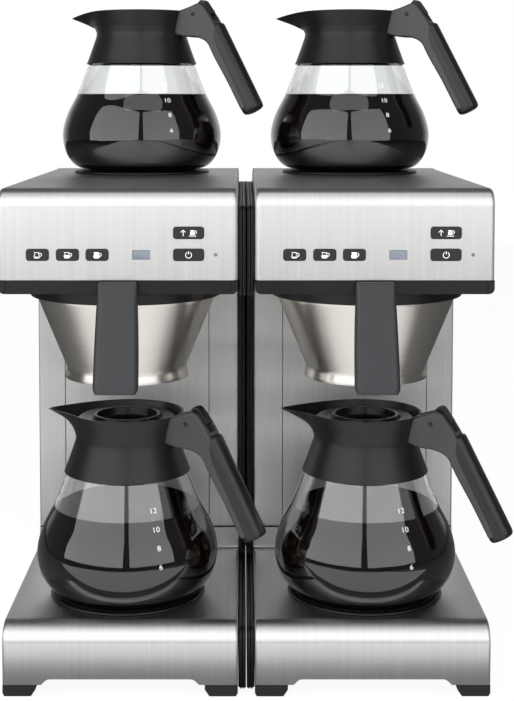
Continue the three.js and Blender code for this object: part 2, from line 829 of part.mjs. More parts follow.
function makeFilterMeshes(side) {
  const basket = namedMesh(`${side}_filter_basket`, makeFilterBasket(), BASKET_STEEL);
  const holder = namedMesh(`${side}_filter_holder`, toGeometry(makeFilterHolder()), SLATE_PLASTIC);
  const spray = namedMesh(`${side}_spray_head`, makeSprayHead(), SLATE_PLASTIC);
  for (const mesh of [basket, holder, spray]) mesh.position.y = LOWER_PLATE_Y;
  return [basket, holder, spray];
}

function makeUnit(side, outerSide) {
  const unit = new THREE.Group();
  const steel = {
    head_cover: makeHeadCover(),
    base_cover: makeBaseCover(),
    column_cover: makeColumnCover(outerSide),
    service_panel: makeServicePanel(),
    base_pan: makeBasePan(),
  };
  for (const [name, solid] of Object.entries(steel)) {
    unit.add(namedMesh(`${side}_${name}`, toGeometry(solid), STEEL));
  }
  const plastic = {
    head_moulding: makeHeadMoulding(),
    outer_front_foot: makeFrontFoot(outerSide),
    inner_front_foot: makeFrontFoot(-outerSide),
    rear_foot: makeRearFoot(),
  };
  for (const [name, solid] of Object.entries(plastic)) {
    unit.add(namedMesh(`${side}_${name}`, toGeometry(solid), BLACK_PLASTIC));
  }
  for (const button of BUTTONS) {
    unit.add(namedMesh(`${side}_${button.name}`, toGeometry(makeButton(button)), BUTTON_PLASTIC));
  }
  unit.add(
    namedMesh(`${side}_boiler`, toGeometry(makeBoiler()), COPPER),
    namedMesh(`${side}_control_board`, toGeometry(makeControlBoard()), CIRCUIT_BOARD),
    makeHotplateMesh(`${side}_lower_hotplate`, LOWER_PLATE_Y, BASE_TOP),
    makeHotplateMesh(`${side}_upper_hotplate`, UPPER_PLATE_Y, HEIGHT),
    ...makeFilterMeshes(side),
    makeJug(`${side}_lower_jug`, LOWER_PLATE_Y, BASE_TOP),
    makeJug(`${side}_upper_jug`, UPPER_PLATE_Y, HEIGHT),
  );
  unit.position.x = outerSide * UNIT_X;
  return unit;
}

const brewer = new THREE.Group();
for (const [side, outerSide] of [['left', -1], ['right', 1]]) {
  brewer.add(
    makeUnit(side, outerSide),
    namedMesh(`${side}_centre_moulding`, toGeometry(makeCentreMoulding(outerSide)), BLACK_PLASTIC),
  );
}
brewer.add(
  namedMesh('rear_panel', toGeometry(makeRearPanel()), STEEL),
  namedMesh('inlet_valve', toGeometry(makeInletValve()), BRASS),
  namedMesh('cable_gland', toGeometry(makeCableGland()), BLACK_PLASTIC),
);

// The origin is the middle of the footprint, on the surface that the feet stand on.
const footprint = new THREE.Box3().setFromObject(brewer, true);
const middle = footprint.getCenter(new THREE.Vector3());
brewer.position.set(-middle.x, -middle.y, -footprint.min.z);

export default brewer;
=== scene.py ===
# Looks of the twin filter-coffee brewer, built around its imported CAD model.
# Shapes are written in millimetres in the frame of the model and stored in metres.

import json
import math

import bmesh
import bpy
from mathutils import Matrix, Vector


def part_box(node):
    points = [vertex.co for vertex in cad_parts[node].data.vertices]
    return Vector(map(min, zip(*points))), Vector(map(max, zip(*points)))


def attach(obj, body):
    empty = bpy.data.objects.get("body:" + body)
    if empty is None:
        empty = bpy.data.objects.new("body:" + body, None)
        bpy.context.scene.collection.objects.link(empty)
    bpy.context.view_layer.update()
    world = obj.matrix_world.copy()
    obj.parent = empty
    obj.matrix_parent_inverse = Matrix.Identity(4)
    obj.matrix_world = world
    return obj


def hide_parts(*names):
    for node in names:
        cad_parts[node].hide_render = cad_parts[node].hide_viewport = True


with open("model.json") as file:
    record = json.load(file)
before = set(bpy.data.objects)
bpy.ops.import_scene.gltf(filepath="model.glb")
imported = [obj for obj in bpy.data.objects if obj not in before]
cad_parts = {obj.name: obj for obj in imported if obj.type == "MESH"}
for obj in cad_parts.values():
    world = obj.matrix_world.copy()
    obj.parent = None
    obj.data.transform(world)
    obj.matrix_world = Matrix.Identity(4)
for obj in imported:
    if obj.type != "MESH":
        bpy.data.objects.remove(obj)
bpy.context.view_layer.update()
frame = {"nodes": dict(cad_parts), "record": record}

MM = 0.001
NODE_BODY = {
    node: body
    for body, nodes in frame["record"]["behaviour"]["bodies"].items()
    for node in nodes
}
SIDES = ("left", "right")
SHEET = 1.2


def span(node):
    """Lowest and highest corner of a CAD node, in millimetres."""
    low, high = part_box(node)
    return low / MM, high / MM


def middle_of(node):
    """Middle of the box round a CAD node, in millimetres."""
    return tuple((a + b) / 2 for a, b in zip(*span(node)))


# ---- outlines

def rounded(points, radius, steps=4, closed=True):
    """Rounds the corners of an outline. A point may carry its own radius as a third value."""
    result = []
    count = len(points)
    for i, point in enumerate(points):
        corner = Vector(point[:2])
        reach = point[2] if len(point) > 2 else radius
        if reach == 0 or (not closed and i in (0, count - 1)):
            result.append(tuple(corner))
            continue
        back = Vector(points[i - 1][:2]) - corner
        ahead = Vector(points[(i + 1) % count][:2]) - corner
        reach = min(reach, 0.48 * back.length, 0.48 * ahead.length)
        start = corner + back.normalized() * reach
        end = corner + ahead.normalized() * reach
        for k in range(steps + 1):
            t = k / steps
            result.append(tuple(
                start * (1 - t) ** 2 + corner * 2 * t * (1 - t) + end * t * t
            ))
    return result


def arc(radius, start, end, centre=(0, 0), steps=24):
    """Points on a round stretch between two angles in degrees."""
    x, y = centre
    angles = [math.radians(start + (end - start) * k / steps) for k in range(steps + 1)]
    return [(x + radius * math.cos(a), y + radius * math.sin(a)) for a in angles]


def circle(radius, centre=(0, 0), steps=48):
    return arc(radius, 0, 360, centre, steps)[:-1]


def rounded_box(width, height, radius, centre=(0, 0), steps=5):
    """A rectangle with round corners, counter-clockwise."""
    points = []
    for sx, sy, turn in ((1, -1, -90), (1, 1, 0), (-1, 1, 90), (-1, -1, 180)):
        x = centre[0] + sx * (width / 2 - radius)
        y = centre[1] + sy * (height / 2 - radius)
        points += arc(radius, turn, turn + 90, (x, y), steps)
    return points


def offset(points, distance):
    """Moves every side of a closed counter-clockwise outline inwards."""
    result = []
    count = len(points)
    for i in range(count):
        corner = Vector(points[i])
        before = (corner - Vector(points[i - 1])).normalized()
        after = (Vector(points[(i + 1) % count]) - corner).normalized()
        inward_a = Vector((-before.y, before.x))
        inward_b = Vector((-after.y, after.x))
        bisector = inward_a + inward_b
        scale = distance / max(bisector.dot(inward_a), 0.3)
        result.append(tuple(corner + bisector * scale))
    return result


def spline(points, steps):
    """A smooth curve through the points, with steps points to each span."""
    result = []
    last = len(points) - 1
    for i in range(last):
        p0, p1, p2, p3 = (
            Vector(points[min(max(k, 0), last)]) for k in (i - 1, i, i + 1, i + 2)
        )
        for k in range(steps):
            t = k / steps
            result.append(0.5 * (
                2 * p1 + (p2 - p0) * t + (2 * p0 - 5 * p1 + 4 * p2 - p3) * t * t
                + (3 * p1 - p0 - 3 * p2 + p3) * t ** 3
            ))
    result.append(Vector(points[last]))
    return result


def ribbon(points, width, closed=False):
    """The outline of a line of even width through the points."""
    left, right = [], []
    count = len(points)
    for i in range(count):
        here = Vector(points[i])
        before = Vector(points[i - 1]) if i or closed else here
        after = Vector(points[(i + 1) % count]) if i < count - 1 or closed else here
        ahead = (after - before).normalized()
        across = Vector((-ahead.y, ahead.x)) * width / 2
        left.append(here + across)
        right.append(here - across)
    return left, right


# ---- shapes
# A shape is a list of points in millimetres and a list of faces.

AXES = {"x": (1, 2, 0), "y": (0, 2, 1), "z": (0, 1, 2)}


def along(axis, a, b, c):
    """The point whose two outline values are a and b and whose third value is c."""
    place = [0, 0, 0]
    for index, value in zip(AXES[axis], (a, b, c)):
        place[index] = value
    return tuple(place)


def skin(points, count):
    """Faces over rows of count points, with both ends closed."""
    faces = []
    for low in range(0, len(points) - count, count):
        high = low + count
        for k in range(count):
            n = (k + 1) % count
            faces.append((low + k, low + n, high + n, high + k))
    faces.append(tuple(range(count)))
    faces.append(tuple(range(len(points) - count, len(points))))
    return points, faces


def loft(rings, axis):
    """Joins outlines of equal length at given heights, and closes both ends."""
    points = [along(axis, a, b, height) for ring, height in rings for a, b in ring]
    return skin(points, len(rings[0][0]))


def prism(ring, axis, low, high):
    return loft([(ring, low), (ring, high)], axis)


def cuboid(x0, x1, y0, y1, z0, z1):
    return prism([(x0, y0), (x1, y0), (x1, y1), (x0, y1)], "z", z0, z1)


def lathe(profile, segments=96):
    """A body of revolution about Z from points of radius and height."""
    points, rings, faces = [], [], []
    for radius, height in profile:
        start = len(points)
        if radius < 1e-6:
            points.append((0, 0, height))
            rings.append([start])
            continue
        points += [(x, y, height) for x, y in circle(radius, steps=segments)]
        rings.append(list(range(start, start + segments)))
    pairs = list(zip(rings, rings[1:]))
    if len(rings[0]) > 1:
        pairs.append((rings[-1], rings[0]))
    for low, high in pairs:
        for k in range(segments):
            n = (k + 1) % segments
            if len(low) == 1:
                faces.append((low[0], high[n], high[k]))
            elif len(high) == 1:
                faces.append((low[k], low[n], high[0]))
            else:
                faces.append((low[k], low[n], high[n], high[k]))
    return points, faces


def tube(path, radius, segments=20):
    """A round bar along a path in the YZ plane."""
    points = []
    side = Vector((1, 0, 0))
    for i, spot in enumerate(path):
        before = Vector(path[max(i - 1, 0)])
        after = Vector(path[min(i + 1, len(path) - 1)])
        up = side.cross((after - before).normalized())
        for u, v in circle(radius, steps=segments):
            points.append(tuple(Vector(spot) + u * side + v * up))
    return skin(points, segments)


def strip(line, width, axis, low, high, closed=False):
    """A line of even width with a little thickness."""
    left, right = ribbon(line, width, closed)
    if not closed:
        return prism([tuple(p) for p in left + right[::-1]], axis, low, high)
    points, faces = [], []
    count = len(line)
    for height in (low, high):
        for edge in (left, right):
            points += [along(axis, p[0], p[1], height) for p in edge]
    for k in range(count):
        n = (k + 1) % count
        for a, b in ((0, 1), (1, 3), (3, 2), (2, 0)):
            faces.append((a * count + k, a * count + n, b * count + n, b * count + k))
    return points, faces


def moved(shape, matrix):
    points, faces = shape
    return [tuple(matrix @ Vector(p)) for p in points], faces


def lying(shape, x, y, z):
    """Lays a shape down, with its axis along +Y, at a place."""
    turn = Matrix.Rotation(math.radians(-90), 4, "X")
    return moved(shape, Matrix.Translation((x, y, z)) @ turn)


def shifted(shape, x=0, y=0, z=0):
    return moved(shape, Matrix.Translation((x, y, z)))


def merged(*shapes):
    points, faces = [], []
    for more_points, more_faces in shapes:
        start = len(points)
        points += more_points
        faces += [tuple(start + k for k in face) for face in more_faces]
    return points, faces


# ---- objects

def linked(name, data):
    obj = bpy.data.objects.new(name, data)
    bpy.context.scene.collection.objects.link(obj)
    return obj


def discard(obj):
    mesh = obj.data
    bpy.data.objects.remove(obj)
    bpy.data.meshes.remove(mesh)


def to_object(name, shape):
    """Makes an object of a shape in millimetres, with its normals outwards."""
    points, faces = shape
    mesh = bpy.data.meshes.new(name)
    mesh.from_pydata([tuple(value * MM for value in p) for p in points], [], faces)
    work = bmesh.new()
    work.from_mesh(mesh)
    bmesh.ops.remove_doubles(work, verts=work.verts, dist=1e-7)
    bmesh.ops.recalc_face_normals(work, faces=work.faces)
    work.to_mesh(mesh)
    work.free()
    return linked(name, mesh)


def evaluated_mesh(obj):
    depsgraph = bpy.context.evaluated_depsgraph_get()
    return bpy.data.meshes.new_from_object(obj.evaluated_get(depsgraph))


def bake(obj):
    """Applies the modifiers of an object to its mesh."""
    mesh = evaluated_mesh(obj)
    obj.modifiers.clear()
    old = obj.data
    obj.data = mesh
    bpy.data.meshes.remove(old)
    mesh.name = obj.name
    return obj


def carve(obj, *shapes):
    """Cuts shapes out of an object."""
    cutter = to_object("cutter", merged(*shapes))
    modifier = obj.modifiers.new("cut", "BOOLEAN")
    modifier.operation = "DIFFERENCE"
    modifier.solver = "EXACT"
    modifier.object = cutter
    bake(obj)
    discard(cutter)
    return obj


def soften(obj, bevel=0.0, angle=35, segments=2):
    """Rounds the sharp edges a little and smooths the shading."""
    if bevel:
        modifier = obj.modifiers.new("bevel", "BEVEL")
        modifier.width, modifier.segments = bevel * MM, segments
        modifier.limit_method = "ANGLE"
        modifier.angle_limit = math.radians(angle)
        modifier.use_clamp_overlap = True
        bake(obj)
    obj.data.shade_smooth()
    obj.data.set_sharp_from_angle(angle=math.radians(angle))
    normals = obj.modifiers.new("normals", "WEIGHTED_NORMAL")
    normals.keep_sharp = True
    return bake(obj)


def dress(obj, material, node, replaces=()):
    """Gives a piece its material and the body that it rides on."""
    obj.data.materials.clear()
    obj.data.materials.append(material)
    if replaces:
        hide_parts(*replaces)
    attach(obj, NODE_BODY[node])
    return obj


def piece(name, shape, material, node, bevel=0.0, angle=35, replaces=()):
    obj = soften(to_object(name, shape), bevel, angle)
    return dress(obj, material, node, replaces)


def stand_in(name, shape, material, node, angle=50, bevel=0.0):
    """A piece that stands for its CAD node."""
    return piece(name, shape, material, node, bevel, angle, (node,))


def refined(node, material, bevel, cuts=()):
    """A copy of a CAD node with its edges rounded, which stands for it."""
    mesh = frame["nodes"][node].data.copy()
    work = bmesh.new()
    work.from_mesh(mesh)
    bmesh.ops.remove_doubles(work, verts=work.verts, dist=2e-5)
    bmesh.ops.dissolve_limit(
        work, angle_limit=math.radians(1), verts=work.verts, edges=work.edges
    )
    work.to_mesh(mesh)
    work.free()
    obj = linked(f"{node}_shell", mesh)
    if cuts:
        carve(obj, *cuts)
    soften(obj, bevel)
    return dress(obj, material, node, (node,))


# ---- materials

def feed(tree, node, inputs):
    """Sets the inputs of a node, or links them where the value is another node's output."""
    for key, value in inputs.items():
        if isinstance(value, bpy.types.NodeSocket):
            tree.links.new(value, node.inputs[key])
        else:
            node.inputs[key].default_value = value


def add(tree, kind, inputs=None, **settings):
    node = tree.nodes.new(kind)
    for key, value in settings.items():
        setattr(node, key, value)
    feed(tree, node, inputs or {})
    return node


def new_material(name, **values):
    material = bpy.data.materials.new(name)
    material.use_nodes = True
    tree = material.node_tree
    shader = tree.nodes["Principled BSDF"]
    feed(tree, shader, {key.replace("_", " "): value for key, value in values.items()})
    return material, tree, shader


def mapped(tree, stretch):
    """The object's own coordinates in metres, times the stretch."""
    place = add(tree, "ShaderNodeTexCoord").outputs["Object"]
    mapping = add(tree, "ShaderNodeMapping", {"Vector": place, "Scale": stretch})
    return mapping.outputs["Vector"]


def noise(tree, stretch, detail=2.0):
    """Noise over the object's own coordinates. The stretch is in cycles per metre."""
    return add(tree, "ShaderNodeTexNoise", {
        "Vector": mapped(tree, stretch), "Scale": 1.0, "Detail": detail, "Roughness": 0.5,
    }).outputs["Fac"]


def ramp(tree, factor, low, high, start=0.3, end=0.7):
    return add(tree, "ShaderNodeMapRange", {
        "Value": factor, "From Min": start, "From Max": end, "To Min": low, "To Max": high,
    }).outputs["Result"]


def maths(tree, operation, *values):
    return add(tree, "ShaderNodeMath", dict(enumerate(values)), operation=operation).outputs[0]


def component(tree, vector, axis):
    return add(tree, "ShaderNodeSeparateXYZ", {"Vector": vector}).outputs[axis]


def colour_mix(tree, factor, a, b):
    return add(tree, "ShaderNodeMix", {0: factor, 6: a, 7: b}, data_type="RGBA").outputs[2]


def tint(tree, factor, dark, light, start=0.3, end=0.7):
    """A colour between dark and light, where the factor runs from start to end."""
    return colour_mix(tree, ramp(tree, factor, 0, 1, start, end), (*dark, 1), (*light, 1))


def mix(tree, factor, a, b):
    return add(tree, "ShaderNodeMix", {0: factor, 2: a, 3: b}, data_type="FLOAT").outputs[0]


STEEL_SHADES = (0.93, 1.05)


def scaled(colour, factor):
    return tuple(value * factor for value in colour)


def finish(tree, shader, colour, shades, pattern, marks, smudge, roughness, reach, share, depth):
    """Colour from a pattern, roughness from marks and a broader smudge, relief from the marks."""
    dark, light = (scaled(colour, shade) for shade in shades)
    levels = [
        ramp(tree, source, roughness + low, roughness + high)
        for source, (low, high) in zip((marks, smudge), reach)
    ]
    relief = add(tree, "ShaderNodeBump", {"Height": marks, "Distance": depth, "Strength": 1.0})
    feed(tree, shader, {
        "Base Color": tint(tree, pattern, dark, light),
        "Roughness": mix(tree, share, *levels), "Normal": relief.outputs["Normal"],
    })


def sheet_steel(name, colour, roughness, depth):
    """Brushed sheet: the grain runs up the fronts, back over the tops and up the cheeks."""
    material, tree, shader = new_material(name, Metallic=1.0, Anisotropic=0.75)
    normal = add(tree, "ShaderNodeNewGeometry").outputs["Normal"]
    sideways = maths(tree, "ABSOLUTE", component(tree, normal, "X"))
    cheek = ramp(tree, sideways, 0, 1, 0.6, 0.8)
    front = ramp(tree, sideways, 1, 0, 0.6, 0.8)
    across = add(tree, "ShaderNodeCombineXYZ", {"X": front, "Y": cheek}).outputs[0]
    feed(tree, shader, {"Tangent": across})
    fine = mix(tree, cheek, noise(tree, (1500, 9, 9)), noise(tree, (9, 1500, 9)))
    broad = mix(tree, cheek, noise(tree, (260, 3, 3)), noise(tree, (3, 260, 3)))
    grain = mix(tree, 0.45, fine, broad)
    smudge = noise(tree, (14, 14, 14), 3.0)
    reach = ((-0.05, 0.07), (-0.05, 0.05))
    finish(tree, shader, colour, STEEL_SHADES, grain, grain, smudge, roughness, reach, 0.3, depth)
    return material


def turned_steel(name, colour, roughness, depth):
    """Spun or turned metal, with its fine marks round a vertical axis."""
    material, tree, shader = new_material(name, Metallic=1.0, Anisotropic=0.75)
    feed(tree, shader, {"Tangent": add(tree, "ShaderNodeCombineXYZ", {"Z": 1.0}).outputs[0]})
    grain = mix(tree, 0.4, noise(tree, (12, 12, 1400)), noise(tree, (6, 6, 180)))
    smudge = noise(tree, (25, 25, 25), 3.0)
    reach = ((-0.04, 0.06), (-0.05, 0.06))
    finish(tree, shader, colour, STEEL_SHADES, grain, grain, smudge, roughness, reach, 0.4, depth)
    return material


def plastic(name, colour, roughness, grain=2200, depth=0.00002, spread=0.18, **values):
    """Moulded plastic or rubber with a fine etched texture and slight handling marks."""
    material, tree, shader = new_material(name, **values)
    fine = noise(tree, (grain, grain, grain), 3.0)
    smudge = noise(tree, (30, 30, 30), 4.0)
    shades = (1 - spread, 1 + spread)
    reach = ((-0.04, 0.04), (-0.07, 0.08))
    pattern = mix(tree, 0.5, fine, smudge)
    finish(tree, shader, colour, shades, pattern, fine, smudge, roughness, reach, 0.5, depth)
    return material


def board_green(name):
    """Green lacquer with a fine net of tracks."""
    material, tree, shader = new_material(name, Roughness=0.35)
    bricks = add(tree, "ShaderNodeTexBrick", {
        "Vector": mapped(tree, (260, 1, 260)), "Scale": 1.0, "Mortar Size": 0.04,
        "Color1": (0.01, 0.09, 0.035, 1), "Color2": (0.012, 0.11, 0.045, 1),
        "Mortar": (0.03, 0.2, 0.08, 1),
    })
    dull = ramp(tree, noise(tree, (90, 90, 90)), 0.3, 0.45)
    feed(tree, shader, {"Base Color": bricks.outputs["Color"], "Roughness": dull})
    return material


def clear_glass(name):
    material, tree, shader = new_material(
        name, Roughness=0.0, IOR=1.47, Transmission_Weight=1.0,
        Coat_Weight=0.85, Coat_IOR=1.65, Coat_Roughness=0.0,
    )
    cloud = noise(tree, (20, 20, 45), 3.0)
    pale = tint(tree, cloud, (0.96, 0.98, 0.972), (0.98, 0.99, 0.986))
    feed(tree, shader, {"Base Color": pale})
    return material


STEEL = sheet_steel("brushed_steel", (0.77, 0.765, 0.76), 0.42, 0.00004)
PAN = sheet_steel("pan_steel", (0.55, 0.55, 0.55), 0.5, 0.00004)
BASKET = turned_steel("basket_steel", (0.82, 0.785, 0.735), 0.3, 0.000008)
BLACK = plastic("black_plastic", (0.009, 0.009, 0.0093), 0.32, Specular_IOR_Level=0.36)
COLLAR = plastic("collar_plastic", (0.011, 0.0105, 0.011), 0.36, 1500, 0.00003,
                 Specular_IOR_Level=0.42)
# The bracket's black plastic is given a lighter colour than the grip's. This is painted light on
# the bracket's lit cheek.
BRACKET_PAINTED_LIT = plastic("bracket_plastic_painted_lit", (0.052, 0.0515, 0.054), 0.36, 1500, 0.00003)
GRIP = plastic("grip_plastic", (0.013, 0.0125, 0.013), 0.32)
SLATE = plastic("slate_plastic", (0.031, 0.033, 0.037), 0.46, 1800, 0.00003, 0.1)
LID = plastic("lid_plastic", (0.006, 0.006, 0.0062), 0.24, 1500, 0.00001,
              Specular_IOR_Level=0.26)
RUBBER = plastic("foot_rubber", (0.022, 0.022, 0.023), 0.62, 1300, 0.00005)
COATING = plastic("plate_coating", (0.009, 0.009, 0.0095), 0.34, 1600, 0.00005)
KEY = plastic("key_plastic", (0.014, 0.0145, 0.016), 0.38, 2400)
# The white print glows a little. This is painted light, so the print on the keys and the glass
# reads brighter than its own colour.
PRINT_PAINTED_GLOW = plastic("white_print_painted_glow", (0.9, 0.9, 0.9), 0.5, 3000, 0.00001, 0.05, Emission_Strength=0.6)
LCD = plastic("display", (0.22, 0.255, 0.31), 0.25, 900, 0.000005, 0.12, Coat_Weight=1.0)
LENS = plastic("lamp_lens", (0.24, 0.245, 0.25), 0.25, 900, 0.000005, 0.1)
COFFEE = plastic("coffee", (0.0045, 0.0027, 0.0018), 0.5, 60, 0.0, 0.3, Specular_IOR_Level=0.0)
BOILER = turned_steel("boiler_steel", (0.62, 0.6, 0.58), 0.35, 0.00001)
BRASS = turned_steel("turned_brass", (0.72, 0.53, 0.24), 0.3, 0.00001)
BOARD = board_green("circuit_board")
CHIP = plastic("relay_plastic", (0.03, 0.045, 0.09), 0.45)
GLASS = clear_glass("jug_glass")
SCREW = turned_steel("screw_steel", (0.6, 0.6, 0.6), 0.3, 0.00002)


# ---- steel covers

def hood(name, node, bend, end_round):
    """A folded hood: front, bend, top and cheeks, whose ends are rounded over."""
    low, high = span(node)
    steps, end_steps = 12, 6
    half = (high.x - low.x) / 2
    middle = middle_of(node)[0]
    stations = []
    for k in range(end_steps + 1):
        angle = math.radians(90 * k / end_steps)
        inset = end_round * (1 - math.cos(angle))
        stations.append((half - end_round * (1 - math.sin(angle)), inset))
    stations = [(-x, inset) for x, inset in reversed(stations)] + stations
    points, faces = [], []
    for x, inset in stations:
        radius = bend - inset
        points.append((middle + x, low.y + inset, low.z))
        for k in range(steps + 1):
            angle = math.radians(90 * k / steps)
            y = low.y + bend - radius * math.cos(angle)
            z = high.z - bend + radius * math.sin(angle)
            points.append((middle + x, y, z))
        points.append((middle + x, high.y, high.z - inset))
    width = steps + 3
    for row in range(len(stations) - 1):
        for k in range(width - 1):
            a = row * width + k
            faces.append((a, a + 1, a + width + 1, a + width))
    for row, x in ((0, middle - half), (len(stations) - 1, middle + half)):
        points.append((x, high.y, low.z))
        faces.append((*range(row * width, (row + 1) * width), len(points) - 1))
    obj = to_object(name, (points, faces))
    front = min(obj.data.polygons, key=lambda face: face.center.y)
    if front.normal.y > 0:
        obj.data.flip_normals()
    modifier = obj.modifiers.new("sheet", "SOLIDIFY")
    modifier.thickness = SHEET * MM
    modifier.offset = -1
    modifier.use_even_offset = True
    return bake(obj)


def screw_shape(radius):
    """A domed cross-head screw that looks along -Y, with its bearing face at Y = 0."""
    dome = lathe([
        (0, 0.4), (radius * 0.92, 0.4), (radius, 0.15), (radius, -0.25), (radius * 0.86, -0.75),
        (radius * 0.6, -1.15), (radius * 0.3, -1.35), (0, -1.4),
    ], 28)
    obj = to_object("screw", moved(dome, Matrix.Rotation(math.radians(-90), 4, "X")))
    arm, half_slot = radius * 0.52, 0.32
    carve(obj, cuboid(-arm, arm, -3, -0.5, -half_slot, half_slot))
    carve(obj, cuboid(-half_slot, half_slot, -3, -0.5, -arm, arm))
    points = [tuple(vertex.co / MM) for vertex in obj.data.vertices]
    faces = [tuple(face.vertices) for face in obj.data.polygons]
    discard(obj)
    return points, faces


SCREW_SHAPE = screw_shape(3.4)


def screws(name, node, places, facing):
    """Screws at (x, y, z), facing the front (-1) or the back (+1)."""
    turn = Matrix.Rotation(math.pi if facing > 0 else 0, 4, "Z")
    shapes = [
        moved(SCREW_SHAPE, Matrix.Translation(p) @ turn @ Matrix.Rotation(0.4 * k, 4, "Y"))
        for k, p in enumerate(places)
    ]
    piece(name, merged(*shapes), SCREW, node)


PLATE_HOLE = 66
DISPLAY_HOLE = (15.3, 8)
LAMP_HOLE = 1.5
KEY_GAP = 0.7
COVER_EDGE = (0.3, 40)


def plate_hole(x, plate, z):
    """The round opening for a hotplate in the top of a cover."""
    disc = lathe([(0, -9), (PLATE_HOLE, -9), (PLATE_HOLE, 9), (0, 9)], 96)
    return shifted(disc, x, middle_of(plate)[1], z)


def steel_cover(obj, node):
    dress(soften(obj, *COVER_EDGE), STEEL, node, (node,))


def build_head_cover(side):
    node = f"{side}_head_cover"
    low, high = span(node)
    middle = middle_of(node)[0]
    rings = []
    for key in KEYS:
        x, z, width, height = key_face(side, key)
        rings.append(rounded_box(width + KEY_GAP, height + KEY_GAP, 2.6, (x, z)))
    row = row_height(side)
    rings.append(rounded_box(*DISPLAY_HOLE, 0.7, (middle + DISPLAY_X, row)))
    rings.append(circle(LAMP_HOLE, (middle + LAMP_X, row)))
    holes = [plate_hole(middle, f"{side}_upper_hotplate", high.z)]
    holes += [prism(ring, "y", low.y - 2, low.y + 4) for ring in rings]
    cover = hood(f"{side}_head_shell", node, bend=15, end_round=4.2)
    steel_cover(carve(cover, *holes), node)


def build_base_cover(side):
    """The cover of the base, with an arch between the feet."""
    node = f"{side}_base_cover"
    low, high = span(node)
    middle = middle_of(node)[0]
    reach, rise = (high.x - low.x) / 2 - 34, 5
    arch = rounded([
        (middle - reach, low.z - rise, 0), (middle + reach, low.z - rise, 0),
        (middle + reach, low.z, 0), (middle + reach - rise, low.z + rise, 3),
        (middle - reach + rise, low.z + rise, 3), (middle - reach, low.z, 0),
    ], 0)
    cover = carve(
        hood(f"{side}_base_shell", node, bend=19, end_round=2.6),
        prism(arch, "y", low.y - 2, low.y + 6),
        plate_hole(middle, f"{side}_lower_hotplate", high.z),
    )
    steel_cover(cover, node)


def build_column(side):
    """The wrap of the column, the upstand and its dark bead of painted shadow at its foot, and the
    panel let into it.
    """
    node, panel = f"{side}_column_cover", f"{side}_service_panel"
    low, high = span(node)
    outer = rounded([
        (low.x, high.y, 0), (low.x, low.y, 3), (high.x, low.y, 3), (high.x, high.y, 0),
    ], 3, 6)
    inner = rounded([
        (high.x - SHEET, high.y, 0), (high.x - SHEET, low.y + SHEET, 1.8),
        (low.x + SHEET, low.y + SHEET, 1.8), (low.x + SHEET, high.y, 0),
    ], 1.8, 6)
    wrap = to_object(f"{side}_column_shell", prism(outer + inner, "z", low.z, high.z))
    panel_low, panel_high = span(panel)
    gap = 0.4
    carve(wrap, cuboid(
        panel_low.x - gap, panel_high.x + gap, low.y - 3, low.y + 3,
        panel_low.z - gap, panel_high.z + gap,
    ))
    steel_cover(wrap, node)
    build_upstand(side, low, high)
    refined(panel, STEEL, 0.7)
    inset = 8
    places = [
        (x, panel_low.y - 0.1, z)
        for x in (panel_low.x + inset, panel_high.x - inset)
        for z in (panel_low.z + inset, panel_high.z - inset)
    ]
    screws(f"{side}_panel_screws", panel, places, -1)


def build_upstand(side, low, high):
    """The edge of the base cover, turned up in front of the column, and a dark rubber bead on its
    top that is painted shadow: it stands for the shadow line in the gap behind the upstand.
    """
    node = f"{side}_base_cover"
    y, z, top = low.y, low.z, low.z + 21.6
    foot = rounded([
        (y - 8, z - 0.2, 0), (y - 0.4, z - 0.2, 0), (y - 0.4, top, 0.2),
        (y - 1.6, top, 0.5), (y - 1.6, z + 0.4, 3.4), (y - 8, z + 0.1, 0),
    ], 0, 6)
    upstand = prism(foot, "x", low.x + 0.2, high.x - 0.2)
    piece(f"{side}_base_upstand", upstand, STEEL, node, angle=50)
    # A dark rubber bead along the top of the upstand: painted shadow, standing for the shadow line
    # of the gap between the upstand and the column.
    bead = rounded_box(1.3, 1.1, 0.3, (y - 0.9, z + 22.3))
    painted_shadow_bead = prism(bead, "x", low.x + 0.4, high.x - 0.4)
    piece(f"{side}_base_painted_shadow_bead", painted_shadow_bead, RUBBER, node, angle=50)


def build_rear():
    node = "rear_panel"
    refined(node, STEEL, 0.2)
    low, high = span(node)
    middle = middle_of(node)[0]
    places = [
        (middle + side * x, high.y - 0.15, z)
        for side in (-1, 1) for x in (12, high.x - middle - 8)
        for z in (low.z + 10, 240, high.z - 10)
    ]
    screws("rear_screws", node, places, 1)


# ---- mouldings

def build_head_moulding(side):
    node = f"{side}_head_moulding"
    low, high = span(node)
    seams = [
        cuboid(x - 0.35, x + 0.35, low.y - 1, low.y + 1, low.z - 1, high.z + 1)
        for x in (low.x + 6, high.x - 6)
    ]
    refined(node, BLACK, 0.6, seams)


def build_centre_moulding(side, sign):
    """The C-shaped moulding, with ribs that follow its outline."""
    node = f"{side}_centre_moulding"
    low, high = span(node)
    head_low = span(f"{side}_head_cover")[0]
    base_high = span(f"{side}_base_cover")[1]
    column_low = span(f"{side}_column_cover")[0]
    under = max(span(f"{side}_head_moulding")[0].z, head_low.z - 12) - 3
    front, back = low.y, high.y
    inner, step = column_low.y - 4, base_high.z - 6
    outline = rounded([
        (front, low.z, 3), (back, low.z, 3), (back, high.z, 3), (front, high.z, 11),
        (front, under, 5), (inner, under, 8), (inner, step, 8), (front, step, 12),
    ], 4, 6)
    width = high.x - low.x
    near = low.x if sign > 0 else high.x
    section = (
        (0.0, 1.4), (0.7, 0.7), (1.3, 0.9), (1.7, 0.1), (2.6, 0.0), (3.0, 0.9), (3.3, 1.1),
        (3.6, 0.9), (4.0, 0.0), (5.0, 0.1), (5.4, 1.0), (6.1, 1.1), (width, 1.9),
    )
    rings = [(offset(outline, depth), near + sign * place) for place, depth in section]
    stand_in(f"{side}_centre_ribs", loft(rings, "x"), BLACK, node)


# ---- hotplates

